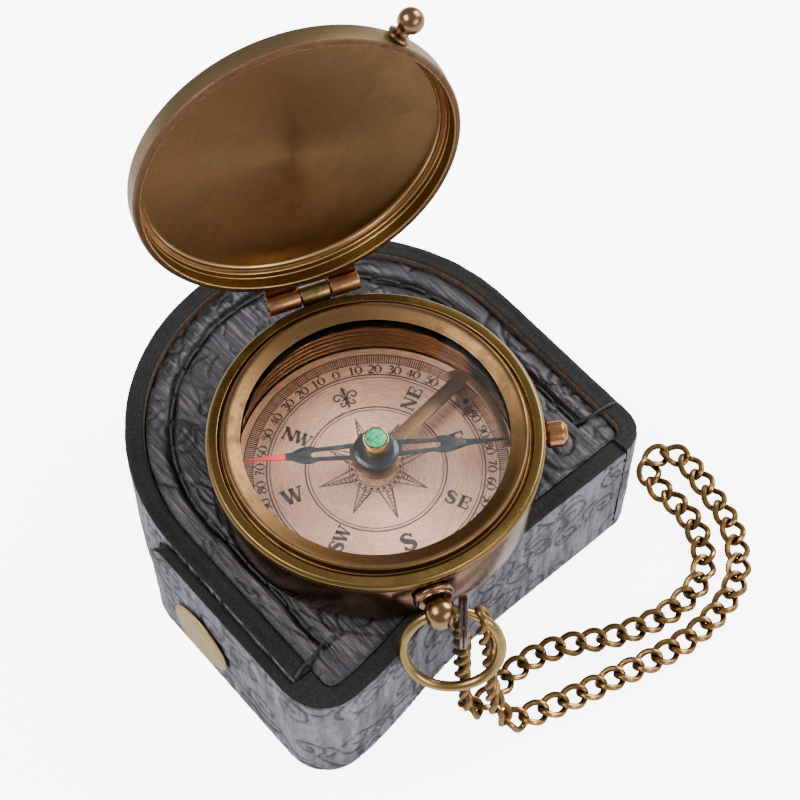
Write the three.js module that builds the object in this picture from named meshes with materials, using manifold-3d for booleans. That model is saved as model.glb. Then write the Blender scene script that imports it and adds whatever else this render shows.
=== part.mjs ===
// Pocket ship compass with a hinged lid and a curb chain, standing on its own leather case.
// Units are millimetres, +Z up, and the origin is on the table under the centre of the case.
import * as THREE from 'three';
import { mergeVertices } from 'three/addons/utils/BufferGeometryUtils.js';
import Module from 'manifold-3d';

const wasm = await Module();
wasm.setup();

// Driving dimensions
const GAP = 0.3;                 // clearance between pieces that seat on each other
const CASE_HEIGHT = 30;          // table to the face that the compass stands on
const CASE_RADIUS = 40.5;        // round back of the case, also half its width
const CASE_FRONT = 39.7;         // centre of the round back to the outside of the front
const LEATHER = 3.6;             // thickness of the case's side leather
const PANEL = 2.4;               // thickness of the top and bottom panels
const RIM_PROUD = 0.6;           // how far the cut edge stands above the top panel
const CORNER = 6;                // radius of the case's front corners
const TAB_LEATHER = 2.2;         // thickness of the closing tab
const TAB_LENGTH = 38;           // closing tab, from the front corner to its clipped end
const SNAP_RADIUS = 7.5;
const SNAP_Y = -9.4;             // snap's place on the left side of the case
const SNAP_Z = 15;
const STITCH_INSET = 8.5;        // stitching groove, in from the outside of the case
const STITCH_END = -29;          // where the stitching turns off to the sides

const COMPASS_X = -3.2;          // compass axis on the case
const COMPASS_Y = -13;
const COMPASS_TURN = -21.4;      // degrees about the vertical
const BOWL_RADIUS = 29.3;
const BEZEL_RADIUS = 30;
const BEZEL_Z = 14.8;            // top of the bezel's flange above the compass's base
const GLASS_OPENING = 23.7;
const GLASS_TOP = 14.4;
const GLASS_THICK = 1.1;
const WELL_RADIUS = 26;          // inside wall of the bowl
const FLOOR = 0.8;               // bowl's floor
const DIAL_RADIUS = 25.6;
const DIAL_TOP = 1.7;

const NEEDLE_Z = 8.3;
const NEEDLE_LENGTH = 23.6;      // from the pivot to each tip
const NEEDLE_TURN = -14;         // degrees from the compass's own X
const CAP_RADIUS = 2.3;
const CAP_TOP = 12.7;

const HINGE_TURN = 1.5;          // degrees that the hinge sits round from opposite the pendant
const HINGE_Y = 31.95;           // lid hinge, behind the compass's axis
const HINGE_Z = 14.5;
const KNUCKLE_RADIUS = 1.8;
const PIN_RADIUS = 0.9;
const LID_OPEN = 95;             // degrees from shut to the stop
const LID_RADIUS = 29.6;
const LID_DEPTH = 5.4;
const LID_BOTTOM = BEZEL_Z + GAP - HINGE_Z;          // lip of the shut lid above the hinge line
const KNOB_TURN = 41;            // degrees from opposite the hinge round to the lid's knob

const BALL_Y = -33.5;            // pendant ball, in front of the compass's axis
const BALL_Z = 8;
const BALL_RADIUS = 2.9;
const BOW_RADIUS = 8.5;          // centre line of the bow ring
const BOW_WIRE = 0.95;
const BOW_HOLE = 1.5;            // radius of the hole through the ball
const BOW_DROOP = 63.5;          // degrees below level
const BOW_ROLL = -13;            // the hole's own tilt about the pendant
const BOW_TURN = -12.5;          // the hole's own turn about the vertical
const SPLIT_RADIUS = 4.3;
const SPLIT_WIRE = 0.72;
const SPLIT_PLACE = [3.45, -35.45, 5.8];   // centre of the split ring that hangs on the bow
const SPLIT_TURN = -19.7;        // degrees that its face turns from the compass's X

const LOCK_ANGLE = -11;          // where the lock plunger comes out of the bowl
const LOCK_Z = 6.1;
const LEVER_ANGLE = 27.5;        // direction of the needle lever's long arm
const LEVER_Z = 5.2;
const LEVER_THICK = 0.5;
const FULCRUM_X = 19.5;

const LINK_LENGTH = 6.4;         // outside sizes of one link of the curb chain
const LINK_WIDTH = 5.1;
const LINK_WIRE = 0.64;          // radius of the link's wire
const LINK_TWIST = 88;           // degrees between a link's two ends, about the chain's line
const LINK_PITCH = 4.15;         // step from one link to the next
const ROUND = 36;                // facets round a large turned piece

const rad = THREE.MathUtils.degToRad;

// Colours of the finishes
const FINISH = {
  copper: { color: 0x8a5a3c, roughness: 0.35, metalness: 1 },
  brass: { color: 0x9c7a3e, roughness: 0.4, metalness: 1 },
  brightBrass: { color: 0xc9a35a, roughness: 0.3, metalness: 1 },
  dial: { color: 0xc08a68, roughness: 0.45, metalness: 0.9 },
  steel: { color: 0x8f8f8c, roughness: 0.3, metalness: 1 },
  black: { color: 0x2c3034, roughness: 0.5, metalness: 0.4 },
  glass: { color: 0xe8f0f0, roughness: 0.05, metalness: 0 },
  jewel: { color: 0x2f8a55, roughness: 0.4, metalness: 0.2 },
  leather: { color: 0x6d6a70, roughness: 0.7, metalness: 0 },
  thread: { color: 0x4a4744, roughness: 0.9, metalness: 0 },
};

// Signed volume of an indexed geometry: negative when its faces point inwards
function signedVolume(position, index) {
  const a = new THREE.Vector3();
  const b = new THREE.Vector3();
  const c = new THREE.Vector3();
  let sum = 0;
  for (let i = 0; i < index.length; i += 3) {
    a.fromBufferAttribute(position, index[i]);
    b.fromBufferAttribute(position, index[i + 1]);
    c.fromBufferAttribute(position, index[i + 2]);
    sum += a.dot(b.cross(c)) / 6;
  }
  return sum;
}

// Welds a geometry into one closed skin with its faces pointing out
function weld(geometry) {
  const bare = geometry.clone();
  bare.deleteAttribute('normal');
  bare.deleteAttribute('uv');
  const merged = mergeVertices(bare, 1e-4);
  const kept = [];
  const all = merged.index.array;
  for (let i = 0; i < all.length; i += 3) {
    const [a, b, c] = [all[i], all[i + 1], all[i + 2]];
    if (a !== b && b !== c && c !== a) kept.push(a, b, c);
  }
  if (signedVolume(merged.attributes.position, kept) < 0) {
    for (let i = 0; i < kept.length; i += 3) [kept[i], kept[i + 1]] = [kept[i + 1], kept[i]];
  }
  merged.setIndex(kept);
  return merged;
}

function toManifold(geometry) {
  const solid = weld(geometry);
  return new wasm.Manifold(new wasm.Mesh({
    numProp: 3,
    vertProperties: new Float32Array(solid.attributes.position.array),
    triVerts: new Uint32Array(solid.index.array),
  }));
}

function fromManifold(manifold) {
  const mesh = manifold.getMesh();
  const geometry = new THREE.BufferGeometry();
  geometry.setAttribute('position', new THREE.BufferAttribute(new Float32Array(mesh.vertProperties), 3));
  geometry.setIndex(Array.from(mesh.triVerts));
  return geometry;
}

function cut(geometry, ...tools) {
  let result = toManifold(geometry);
  for (const tool of tools) result = result.subtract(toManifold(tool));
  return fromManifold(result);
}

function join(geometry, ...others) {
  let result = toManifold(geometry);
  for (const other of others) result = result.add(toManifold(other));
  return fromManifold(result);
}

// A turned piece about Z: the profile is a list of [radius, height]
function turned(profile, facets = ROUND) {
  const points = profile.map(([r, z]) => new THREE.Vector2(r, z));
  return new THREE.LatheGeometry(points, facets).rotateX(Math.PI / 2);
}

// A turned ring: its profile closes on itself
function turnedRing(profile, facets = ROUND) {
  return turned([...profile, profile[0]], facets);
}

function rod(radius, z0, z1, facets = 16) {
  return turned([[0, z0], [radius, z0], [radius, z1], [0, z1]], facets);
}

function plate(shape, z0, z1, curveSegments = 10) {
  const options = { depth: z1 - z0, bevelEnabled: false, curveSegments };
  return new THREE.ExtrudeGeometry(shape, options).translate(0, 0, z0);
}

function block(x0, x1, y0, y1, z0, z1) {
  const box = new THREE.BoxGeometry(x1 - x0, y1 - y0, z1 - z0);
  return box.translate((x0 + x1) / 2, (y0 + y1) / 2, (z0 + z1) / 2);
}

function torus(radius, wire, facets, sides) {
  const profile = [];
  for (let i = 0; i < sides; i += 1) {
    const angle = (i / sides) * Math.PI * 2;
    profile.push([radius + wire * Math.cos(angle), wire * Math.sin(angle)]);
  }
  return turnedRing(profile, facets);
}

function circleShape(radius) {
  return new THREE.Shape().absarc(0, 0, radius, 0, Math.PI * 2, false);
}

const root = new THREE.Group();
const compass = new THREE.Group();
compass.position.set(COMPASS_X, COMPASS_Y, CASE_HEIGHT);
compass.rotation.z = rad(COMPASS_TURN);
root.add(compass);

function add(parent, name, geometry, finish) {
  const mesh = new THREE.Mesh(weld(geometry), new THREE.MeshStandardMaterial(FINISH[finish]));
  mesh.name = name;
  parent.add(mesh);
  return mesh;
}

// ---------------------------------------------------------------- leather case

// Plan of the case, drawn in from its outside by an inset: a round back and a straight front
function casePlan(inset) {
  const side = CASE_RADIUS - inset;
  const front = -(CASE_FRONT - inset);
  const corner = CORNER - Math.min(inset, CORNER - 1);
  const plan = new THREE.Shape();
  plan.moveTo(side, 0);
  plan.absarc(0, 0, side, 0, Math.PI, false);
  plan.lineTo(-side, front + corner);
  plan.absarc(-side + corner, front + corner, corner, Math.PI, Math.PI * 1.5, false);
  plan.lineTo(side - corner, front);
  plan.absarc(side - corner, front + corner, corner, Math.PI * 1.5, Math.PI * 2, false);
  plan.lineTo(side, 0);
  return plan;
}

// A band of leather that follows the plan between two insets
function caseBand(outer, inner, z0, z1) {
  const plan = casePlan(outer);
  plan.holes.push(casePlan(inner));
  return plate(plan, z0, z1, 9);
}

const TAB_BEND_X = -(CASE_RADIUS - CORNER - 1);      // where the tab leaves the front
const TAB_INSIDE = -(CASE_RADIUS + GAP);
const TAB_OUTSIDE = TAB_INSIDE - TAB_LEATHER;
const TAB_CENTRE_Y = -(CASE_FRONT - CORNER - GAP - TAB_LEATHER);

function caseWall() {
  const band = caseBand(0, LEATHER, 0, CASE_HEIGHT + RIM_PROUD);
  const far = CASE_RADIUS + 10;
  const frontMouth = block(-far, CASE_RADIUS - CORNER, -far, -CASE_FRONT + LEATHER + GAP, -1, 50);
  const leftMouth = block(-far, TAB_BEND_X, -far, TAB_CENTRE_Y, -1, 50);
  return cut(band, frontMouth, leftMouth);
}

function casePanel(z0, z1) {
  return plate(casePlan(LEATHER + GAP), z0, z1, 9);
}

// A U-shaped strip along the stitching line
function stitchStrip(width, z0, z1) {
  const band = caseBand(STITCH_INSET - width / 2, STITCH_INSET + width / 2, z0, z1);
  return cut(band, block(-60, 60, -60, STITCH_END, -1, 50));
}

// The front of the case, between the right-hand corner and the bend of the tab
function caseFront() {
  const right = CASE_RADIUS - CORNER - GAP;
  return block(TAB_BEND_X + GAP, right, -CASE_FRONT, -CASE_FRONT + LEATHER, 0, CASE_HEIGHT - GAP);
}

// Plan of the closing tab: from the front, round the left corner and along the side
function tabPlan() {
  const inner = CORNER + GAP;
  const outer = inner + TAB_LEATHER;
  const x = -(CASE_RADIUS - CORNER);
  const y = TAB_CENTRE_Y;
  const plan = new THREE.Shape();
  plan.moveTo(TAB_BEND_X, y - outer);
  plan.lineTo(TAB_BEND_X, y - inner);
  plan.lineTo(x, y - inner);
  plan.absarc(x, y, inner, Math.PI * 1.5, Math.PI, true);
  plan.lineTo(x - inner, y + TAB_LENGTH);
  plan.lineTo(x - outer, y + TAB_LENGTH);
  plan.lineTo(x - outer, y);
  plan.absarc(x, y, outer, Math.PI, Math.PI * 1.5, false);
  plan.lineTo(TAB_BEND_X, y - outer);
  return plan;
}

// The tab ends in two clipped corners, and its snap socket sits in a hole
function caseTab() {
  const strip = plate(tabPlan(), GAP, CASE_HEIGHT - 2 * GAP, 6);
  const half = 9;
  const clips = [0, CASE_HEIGHT].map((z) => {
    const corner = block(-10, 10, -half, half, -half, half).rotateX(Math.PI / 4);
    return corner.translate(TAB_INSIDE, TAB_CENTRE_Y + TAB_LENGTH + 2, z);
  });
  const socketHole = alongSnap(rod(3.2, -5, 5), TAB_INSIDE);
  return cut(strip, ...clips, socketHole);
}

// The snap's pieces are turned about the line that presses it shut
function alongSnap(geometry, x) {
  return geometry.rotateY(-Math.PI / 2).translate(x, SNAP_Y, SNAP_Z);
}

function snapCap() {
  const profile = [
    [0, 0], [1.7, 0], [1.7, GAP], [SNAP_RADIUS - 0.3, GAP],
    [SNAP_RADIUS, 0.6], [SNAP_RADIUS - 0.5, 0.95], [4, 1.15], [0, 1.2],
  ];
  return turned(profile, 28);
}

function snapSocket() {
  return turnedRing([[1.65, 0], [2.9, 0], [2.9, 1.5], [1.65, 1.5]], 16);
}

// Flange inside the wall, shank through it, and the head that the socket grips
function snapStud() {
  const inside = -LEATHER - GAP;
  return turned([
    [0, inside - 0.6], [2.6, inside - 0.6], [2.6, inside], [1, inside], [1, 0.9],
    [1.15, 1.15], [0.9, 1.6], [0, 1.7],
  ], 14);
}

function buildCase() {
  const topFace = CASE_HEIGHT - GAP;
  const studSeat = alongSnap(rod(1.3, -LEATHER - 1, 1, 16), -CASE_RADIUS);
  const groove = stitchStrip(1.5, topFace - 0.9, topFace + 1);
  add(root, 'case_wall', cut(caseWall(), studSeat), 'leather');
  add(root, 'case_bottom', casePanel(0, PANEL), 'leather');
  add(root, 'case_top', cut(casePanel(topFace - PANEL, topFace), groove), 'leather');
  add(root, 'stitch_thread', stitchStrip(0.8, topFace - 0.6, topFace - 0.1), 'thread');
  add(root, 'case_front', caseFront(), 'leather');
  add(root, 'case_tab', caseTab(), 'leather');
  add(root, 'snap_cap', alongSnap(snapCap(), TAB_OUTSIDE), 'brightBrass');
  add(root, 'snap_socket', alongSnap(snapSocket(), TAB_INSIDE), 'steel');
  add(root, 'snap_stud', alongSnap(snapStud(), -CASE_RADIUS), 'steel');
}

buildCase();

// ---------------------------------------------------------------- compass body

function bowl() {
  const wallTop = 11.4;
  const profile = [
    [0, 0], [BOWL_RADIUS - 1, 0], [BOWL_RADIUS, 1], [BOWL_RADIUS, wallTop],
    [WELL_RADIUS, wallTop], [WELL_RADIUS, FLOOR], [0, FLOOR],
  ];
  const lockHole = rod(1.5, 20, 40).rotateY(Math.PI / 2).rotateZ(rad(LOCK_ANGLE)).translate(0, 0, LOCK_Z);
  const stemHole = rod(1.9, 20, 40).rotateX(Math.PI / 2).translate(0, 0, BALL_Z);
  return cut(turned(profile), lockHole, stemHole);
}

// Flange, groove, raised ring and the bright slope down to the glass
function bezel() {
  return turnedRing([
    [27.7, 11.7], [29.6, 11.7], [29.6, 12.6], [BEZEL_RADIUS, 13], [BEZEL_RADIUS, 14.3],
    [29.4, BEZEL_Z], [27.3, BEZEL_Z], [27.3, 14.2], [27, 14.2], [27, 15.6], [26.5, 15.9],
    [25.9, 15.7], [24.4, 14.95], [GLASS_OPENING, 14.7], [25.6, 14.7], [25.6, 12.2], [27.7, 12.2],
  ]);
}

function buildBody() {
  add(compass, 'compass_bowl', bowl(), 'copper');
  add(compass, 'bezel_ring', bezel(), 'brass');
  const glassBottom = GLASS_TOP - GLASS_THICK;
  add(compass, 'glass', rod(25.2, glassBottom, GLASS_TOP, ROUND), 'glass');
  const seat = turnedRing([[24, 11.7], [25.3, 11.7], [25.3, glassBottom - GAP], [24, glassBottom - GAP]], 24);
  add(compass, 'glass_seat_ring', seat, 'brass');
  const dial = rod(DIAL_RADIUS, FLOOR + GAP, DIAL_TOP, ROUND);
  add(compass, 'dial_plate', cut(dial, rod(1.7, 0, 5)), 'dial');
  const post = turned([[0, FLOOR + GAP], [1.35, FLOOR + GAP], [1.35, 3], [1, 3.3], [1, 6.5], [0, 6.5]], 20);
  add(compass, 'pivot_post', post, 'brass');
  const pin = turned([[0, 6.8], [0.4, 6.8], [0.4, 10.3], [0, 11.4]], 12);
  add(compass, 'pivot_pin', pin, 'steel');
}

buildBody();

// ---------------------------------------------------------------- needle and its lock

// One arm of the needle, pointing along +X: a slotted bar, a flare and a fine tip
function needleArm() {
  const arm = new THREE.Shape();
  arm.moveTo(2.9, -1.7);
  arm.lineTo(10.6, -1.35);
  arm.lineTo(12.2, -1.75);
  arm.lineTo(13.7, -1.45);
  arm.lineTo(15, -0.75);
  arm.lineTo(NEEDLE_LENGTH, -0.18);
  arm.lineTo(NEEDLE_LENGTH, 0.18);
  arm.lineTo(15, 0.75);
  arm.lineTo(13.7, 1.45);
  arm.lineTo(12.2, 1.75);
  arm.lineTo(10.6, 1.35);
  arm.lineTo(2.9, 1.7);
  arm.lineTo(2.9, -1.7);
  const slot = new THREE.Path();
  slot.moveTo(4.7, -0.75);
  slot.lineTo(4.7, 0.75);
  slot.lineTo(11.4, 0.6);
  slot.lineTo(11.4, -0.6);
  slot.lineTo(4.7, -0.75);
  arm.holes.push(slot);
  return plate(arm, NEEDLE_Z, NEEDLE_Z + 0.35);
}

function needle() {
  const hub = turnedRing([
    [1.3, NEEDLE_Z - 0.5], [3.4, NEEDLE_Z - 0.5], [4.1, NEEDLE_Z], [4.1, NEEDLE_Z + 0.35],
    [3.1, NEEDLE_Z + 0.75], [1.3, NEEDLE_Z + 0.75],
  ], 24);
  return join(hub, needleArm(), needleArm().rotateZ(Math.PI));
}

function needleCap() {
  const bottom = NEEDLE_Z + 1.05;
  return turned([
    [0, 11.7], [0.9, 11.7], [0.9, bottom], [CAP_RADIUS, bottom], [CAP_RADIUS, CAP_TOP],
    [2.08, CAP_TOP], [2.08, 12.25], [0, 12.25],
  ], 20);
}

// The lever lies over the dial: an eye round the post, a long arm, and a short arm to the plunger
function needleLever() {
  const eye = plate(circleShape(4.4), LEVER_Z, LEVER_Z + LEVER_THICK, 14);
  const arm = block(3.6, 24.2, -1.3, 1.3, LEVER_Z, LEVER_Z + LEVER_THICK).rotateZ(rad(LEVER_ANGLE));
  const bend = new THREE.Shape();
  bend.absarc(0, 0, 24.4, rad(LOCK_ANGLE - 3), rad(LEVER_ANGLE + 3), false);
  bend.absarc(0, 0, 22.6, rad(LEVER_ANGLE + 3), rad(LOCK_ANGLE - 3), true);
  const rim = plate(bend, LEVER_Z, LEVER_Z + LEVER_THICK, 8);
  return cut(join(eye, arm, rim), rod(1.9, 0, 10));
}

// The saddle that the lever rocks on
function leverSaddle() {
  const base = block(FULCRUM_X - 0.9, FULCRUM_X + 0.9, 5, 13, DIAL_TOP + GAP, LEVER_Z - GAP);
  return cut(base, rod(0.6, 0, 10, 12).translate(FULCRUM_X, 6, 0));
}

// Knob, shank and cone nose of the plunger, turned about the line that it slides along
function lockPlunger() {
  const profile = [
    [0, 24.7], [0.4, 25], [1.1, 26.6], [1.1, 31], [2.5, 31], [2.5, 33.9], [1.7, 34.8], [0, 35],
  ];
  const knob = turned(profile, 16).rotateY(Math.PI / 2);
  return knob.rotateZ(rad(LOCK_ANGLE)).translate(0, 0, LOCK_Z);
}

function buildNeedle() {
  const turn = rad(NEEDLE_TURN);
  add(compass, 'needle', needle().rotateZ(turn), 'black');
  add(compass, 'needle_cap', needleCap(), 'brightBrass');
  add(compass, 'jewel_disc', rod(1.75, 12.55, 12.9, 20), 'jewel');
  add(compass, 'needle_lever', needleLever(), 'brass');
  add(compass, 'lever_saddle', leverSaddle(), 'brass');
  add(compass, 'lock_plunger', lockPlunger(), 'copper');
}

buildNeedle();

// ---------------------------------------------------------------- lid and hinge

// Barrel of a hinge knuckle along X, at the hinge line
function barrel(x0, x1, radius) {
  return rod(radius, x0, x1, 20).rotateY(Math.PI / 2);
}

const hinge = new THREE.Group();
hinge.rotation.z = rad(HINGE_TURN);
compass.add(hinge);

const lid = new THREE.Group();
lid.position.set(0, HINGE_Y, HINGE_Z);
lid.rotation.x = rad(-LID_OPEN);
hinge.add(lid);

function lidShell() {
  const shell = turned([
    [0, LID_DEPTH + 0.1], [26.6, LID_DEPTH], [28.6, 4.8], [LID_RADIUS, 3.8], [LID_RADIUS, 0.5], [29.3, 0],
    [28.3, 0], [28.2, 3.2], [27.3, 3.4], [27.2, 4], [26.8, 4.3], [0, 4.5],
  ]);
  return shell.translate(0, -HINGE_Y, LID_BOTTOM);
}

function lidKnuckle(x0, x1) {
  const leaf = block(x0, x1, -4.2, -0.9, LID_BOTTOM, 4.4);
  const shellOutside = rod(LID_RADIUS + GAP, -3, 8, ROUND).translate(0, -HINGE_Y, 0);
  const knuckle = join(barrel(x0, x1, KNUCKLE_RADIUS), leaf);
  return cut(knuckle, shellOutside, barrel(x0 - 1, x1 + 1, PIN_RADIUS + GAP));
}

function bodyKnuckle(x0, x1) {
  const leaf = block(x0, x1, -2.9, -0.9, -7, 0);
  const bowlOutside = rod(BEZEL_RADIUS + GAP, -9, 4, ROUND).translate(0, -HINGE_Y, 0);
  const knuckle = join(barrel(x0, x1, KNUCKLE_RADIUS), leaf);
  const solid = cut(knuckle, bowlOutside, barrel(x0 - 1, x1 + 1, PIN_RADIUS + GAP));
  return solid.translate(0, HINGE_Y, HINGE_Z);
}

// Foot, neck and ball of the knob, standing out from the lid's wall
function lidKnob() {
  const ball = new THREE.SphereGeometry(2.3, 14, 9).translate(0, 0, 3.7);
  const foot = turned([[0, GAP], [2.1, GAP], [2.1, 0.7], [1.3, 1.1], [1.3, 2], [0, 2]], 16);
  const knob = join(foot, ball).rotateX(Math.PI / 2).translate(0, -LID_RADIUS, LID_DEPTH / 2);
  return knob.rotateZ(rad(KNOB_TURN)).translate(0, -HINGE_Y, LID_BOTTOM);
}

function buildLid() {
  add(lid, 'lid_shell', lidShell(), 'brass');
  add(lid, 'lid_knuckle_left', lidKnuckle(-9, -2.95), 'brass');
  add(lid, 'lid_knuckle_right', lidKnuckle(3, 8.55), 'brass');
  add(lid, 'lid_knob', lidKnob(), 'brass');
  add(hinge, 'body_knuckle', bodyKnuckle(-2.65, 2.7), 'brass');
  const pin = barrel(-9.2, 8.75, PIN_RADIUS).translate(0, HINGE_Y, HINGE_Z);
  add(hinge, 'hinge_pin', pin, 'steel');
}

buildLid();

// ---------------------------------------------------------------- pendant, bow and split ring

// A turned piece about the compass's -Y, measured outwards from its axis
function alongPendant(geometry) {
  return geometry.rotateX(Math.PI / 2).translate(0, 0, BALL_Z);
}

function pendantBall() {
  const neck = rod(1.5, 26.6, -BALL_Y, 20);
  const ball = new THREE.SphereGeometry(BALL_RADIUS, 16, 10).translate(0, 0, -BALL_Y);
  const shaped = alongPendant(join(neck, ball));
  const hole = rod(BOW_HOLE, -8, 8, 20).rotateY(Math.PI / 2 + rad(BOW_ROLL)).rotateZ(rad(BOW_TURN));
  return cut(shaped, hole.translate(0, BALL_Y, BALL_Z));
}

function pendantCollar() {
  return alongPendant(turnedRing([
    [1.8, 29.6], [3.65, 29.6], [3.65, 30.3], [3.3, 30.6], [3, 30.7], [3, 31], [1.8, 31],
  ], 20));
}

const bow = new THREE.Group();
bow.position.set(0, BALL_Y, BALL_Z);
bow.rotation.order = 'ZYX';
bow.rotation.set(rad(BOW_DROOP), rad(BOW_ROLL), rad(BOW_TURN));
compass.add(bow);

// Flat wire wound nearly twice round, stepping over once from its first coil to its second
class SplitCoil extends THREE.Curve {
  getPoint(t) {
    const turns = t * 1.85;
    const angle = turns * Math.PI * 2;
    const step = THREE.MathUtils.clamp((turns - 0.85) / 0.15, 0, 1) - 0.5;
    const offset = step * (SPLIT_WIRE + 0.06);
    return new THREE.Vector3(SPLIT_RADIUS * Math.cos(angle), SPLIT_RADIUS * Math.sin(angle), offset);
  }
}

function splitRing() {
  const half = SPLIT_WIRE / 2;
  const section = new THREE.Shape();
  section.moveTo(-half, -half);
  section.lineTo(half, -half);
  section.lineTo(half, half);
  section.lineTo(-half, half);
  const options = { steps: 44, bevelEnabled: false, extrudePath: new SplitCoil() };
  const ring = new THREE.ExtrudeGeometry(section, options);
  return ring.rotateY(Math.PI / 2).rotateZ(rad(SPLIT_TURN)).translate(...SPLIT_PLACE);
}

function buildBow() {
  add(compass, 'pendant_collar', pendantCollar(), 'brass');
  add(compass, 'pendant_ball', pendantBall(), 'copper');
  const ring = torus(BOW_RADIUS, BOW_WIRE, 40, 8).translate(0, 0.25 - BOW_RADIUS, 0);
  add(bow, 'bow_ring', ring, 'brass');
  add(compass, 'split_ring', splitRing(), 'steel');
}

buildBow();

// ---------------------------------------------------------------- chain

// The chain's route: down from the bow, out along the table, round a fold and back to the bow
const CHAIN_ROUTE = [
  [-12.4, -47.0, 20.2], [-12.8, -48.1, 12], [-13.1, -49.2, 6.4], [-12.3, -50.6, 2.9], [-10, -51, 1.8],
  [-6.5, -50.4, 1.5], [-3, -49.9, 1.5], [1.2, -49.9, 1.5], [5.9, -50.9, 1.5], [9.6, -52.4, 1.5],
  [12.9, -54.2, 1.5], [16.3, -56.2, 1.5], [20, -57.9, 1.5], [24.2, -59.3, 1.5], [28.5, -60.2, 1.5],
  [33.1, -60.4, 1.5], [37.4, -59.8, 1.5], [41, -58, 1.5], [43.9, -54.9, 1.5], [45.8, -51.3, 1.5],
  [46.8, -47.4, 1.5], [46.9, -43.4, 1.5], [46.8, -39.4, 1.5], [47.8, -36.1, 1.5], [50.8, -34.5, 1.5],
  [53.8, -35.7, 1.5], [55, -38.6, 1.5], [54.8, -42, 1.5], [54, -45.4, 1.5], [53.3, -48.9, 1.5],
  [52.4, -52.8, 1.5], [50.7, -56.6, 1.5], [48.3, -60.1, 1.5], [45.2, -63.2, 1.5], [41.1, -65.3, 1.5],
  [36.4, -66.4, 1.5], [31.7, -66.8, 1.5], [27.2, -66.6, 1.5], [22.8, -65.9, 1.5], [18.2, -64.8, 1.5],
  [14, -63.7, 1.5], [9.8, -62.6, 1.5], [5.4, -61.5, 1.5], [1.2, -60.3, 1.5], [-2.4, -59.1, 1.5],
  [-5.6, -58.1, 1.5], [-8.2, -57, 2.3], [-9.6, -55.4, 5], [-10, -53.8, 9], [-9.9, -52.5, 13.6],
  [-9.7, -51.4, 20.2],
];
// Each stretch of the chain, and how many links it has
const CHAIN_STRETCHES = [
  ['chain_drop_front', 5], ['chain_inner_run', 15], ['chain_fold', 8], ['chain_outer_run', 15],
  ['chain_drop_back', 8],
];
const STRETCH_SLACK = 0.75;      // how much closer the links are where two stretches hook together

// One link along X: a ring of round wire drawn out into an oval, with its ends twisted apart
function chainLink() {
  const halfLength = LINK_LENGTH / 2 - LINK_WIRE;
  const halfWidth = LINK_WIDTH / 2 - LINK_WIRE;
  const link = torus(halfWidth, LINK_WIRE, 8, 5);
  const position = link.attributes.position;
  const point = new THREE.Vector3();
  const axis = new THREE.Vector3(1, 0, 0);
  for (let i = 0; i < position.count; i += 1) {
    point.fromBufferAttribute(position, i);
    const turn = Math.atan2(point.y, point.x);
    point.x += (halfLength - halfWidth) * Math.cos(turn);
    point.applyAxisAngle(axis, (rad(LINK_TWIST) * Math.cos(turn)) / 2);
    position.setXYZ(i, point.x, point.y, point.z);
  }
  return link;
}

// Where each link sits: along the route, its flat side kept up as the route bends
function linkPlaces(route, distances) {
  const middle = Math.round(distances.length / 2);
  const places = [];
  for (const step of [1, -1]) {
    const up = new THREE.Vector3(0, 0, 1);
    for (let i = middle; i >= 0 && i < distances.length; i += step) {
      const share = distances[i] / route.getLength();
      const along = route.getTangentAt(share);
      up.addScaledVector(along, -up.dot(along)).normalize();
      const across = up.clone().cross(along);
      places[i] = new THREE.Matrix4().makeBasis(along, across, up.clone());
      places[i].setPosition(route.getPointAt(share));
    }
  }
  return places;
}

function buildChain() {
  const route = new THREE.CatmullRomCurve3(CHAIN_ROUTE.map((point) => new THREE.Vector3(...point)));
  const distances = [];
  let next = LINK_PITCH / 2;
  for (const [, count] of CHAIN_STRETCHES) {
    for (let i = 0; i < count; i += 1) {
      distances.push(next);
      next += LINK_PITCH;
    }
    next -= STRETCH_SLACK;
  }
  const links = linkPlaces(route, distances).map((place) => chainLink().applyMatrix4(place));
  for (const [name, count] of CHAIN_STRETCHES) {
    add(root, name, join(...links.splice(0, count)), 'brass');
  }
}

buildChain();

export default root;
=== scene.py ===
"""Pocket ship compass with its lid open, standing on its leather case, with its curb chain."""
import math

import bmesh
import bpy
import numpy as np
from mathutils import Matrix, Vector


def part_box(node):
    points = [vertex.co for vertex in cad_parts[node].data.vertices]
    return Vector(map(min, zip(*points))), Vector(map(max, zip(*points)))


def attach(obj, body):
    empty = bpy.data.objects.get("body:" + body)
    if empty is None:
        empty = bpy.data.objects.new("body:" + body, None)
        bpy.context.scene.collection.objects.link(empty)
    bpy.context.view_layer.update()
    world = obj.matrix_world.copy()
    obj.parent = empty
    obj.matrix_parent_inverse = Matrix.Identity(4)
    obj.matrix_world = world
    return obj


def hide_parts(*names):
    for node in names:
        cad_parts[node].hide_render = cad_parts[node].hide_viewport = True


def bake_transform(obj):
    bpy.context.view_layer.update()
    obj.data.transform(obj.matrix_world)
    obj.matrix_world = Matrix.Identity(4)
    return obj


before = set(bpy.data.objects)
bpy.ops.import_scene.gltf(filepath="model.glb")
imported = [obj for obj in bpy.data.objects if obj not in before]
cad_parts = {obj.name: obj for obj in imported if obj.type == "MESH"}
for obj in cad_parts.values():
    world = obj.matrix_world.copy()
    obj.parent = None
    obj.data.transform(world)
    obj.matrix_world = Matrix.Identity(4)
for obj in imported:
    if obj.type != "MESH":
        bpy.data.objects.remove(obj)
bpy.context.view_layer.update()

# Sizes are millimetres in a piece's own frame, and each frame turns them into metres
MM = 0.001

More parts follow.
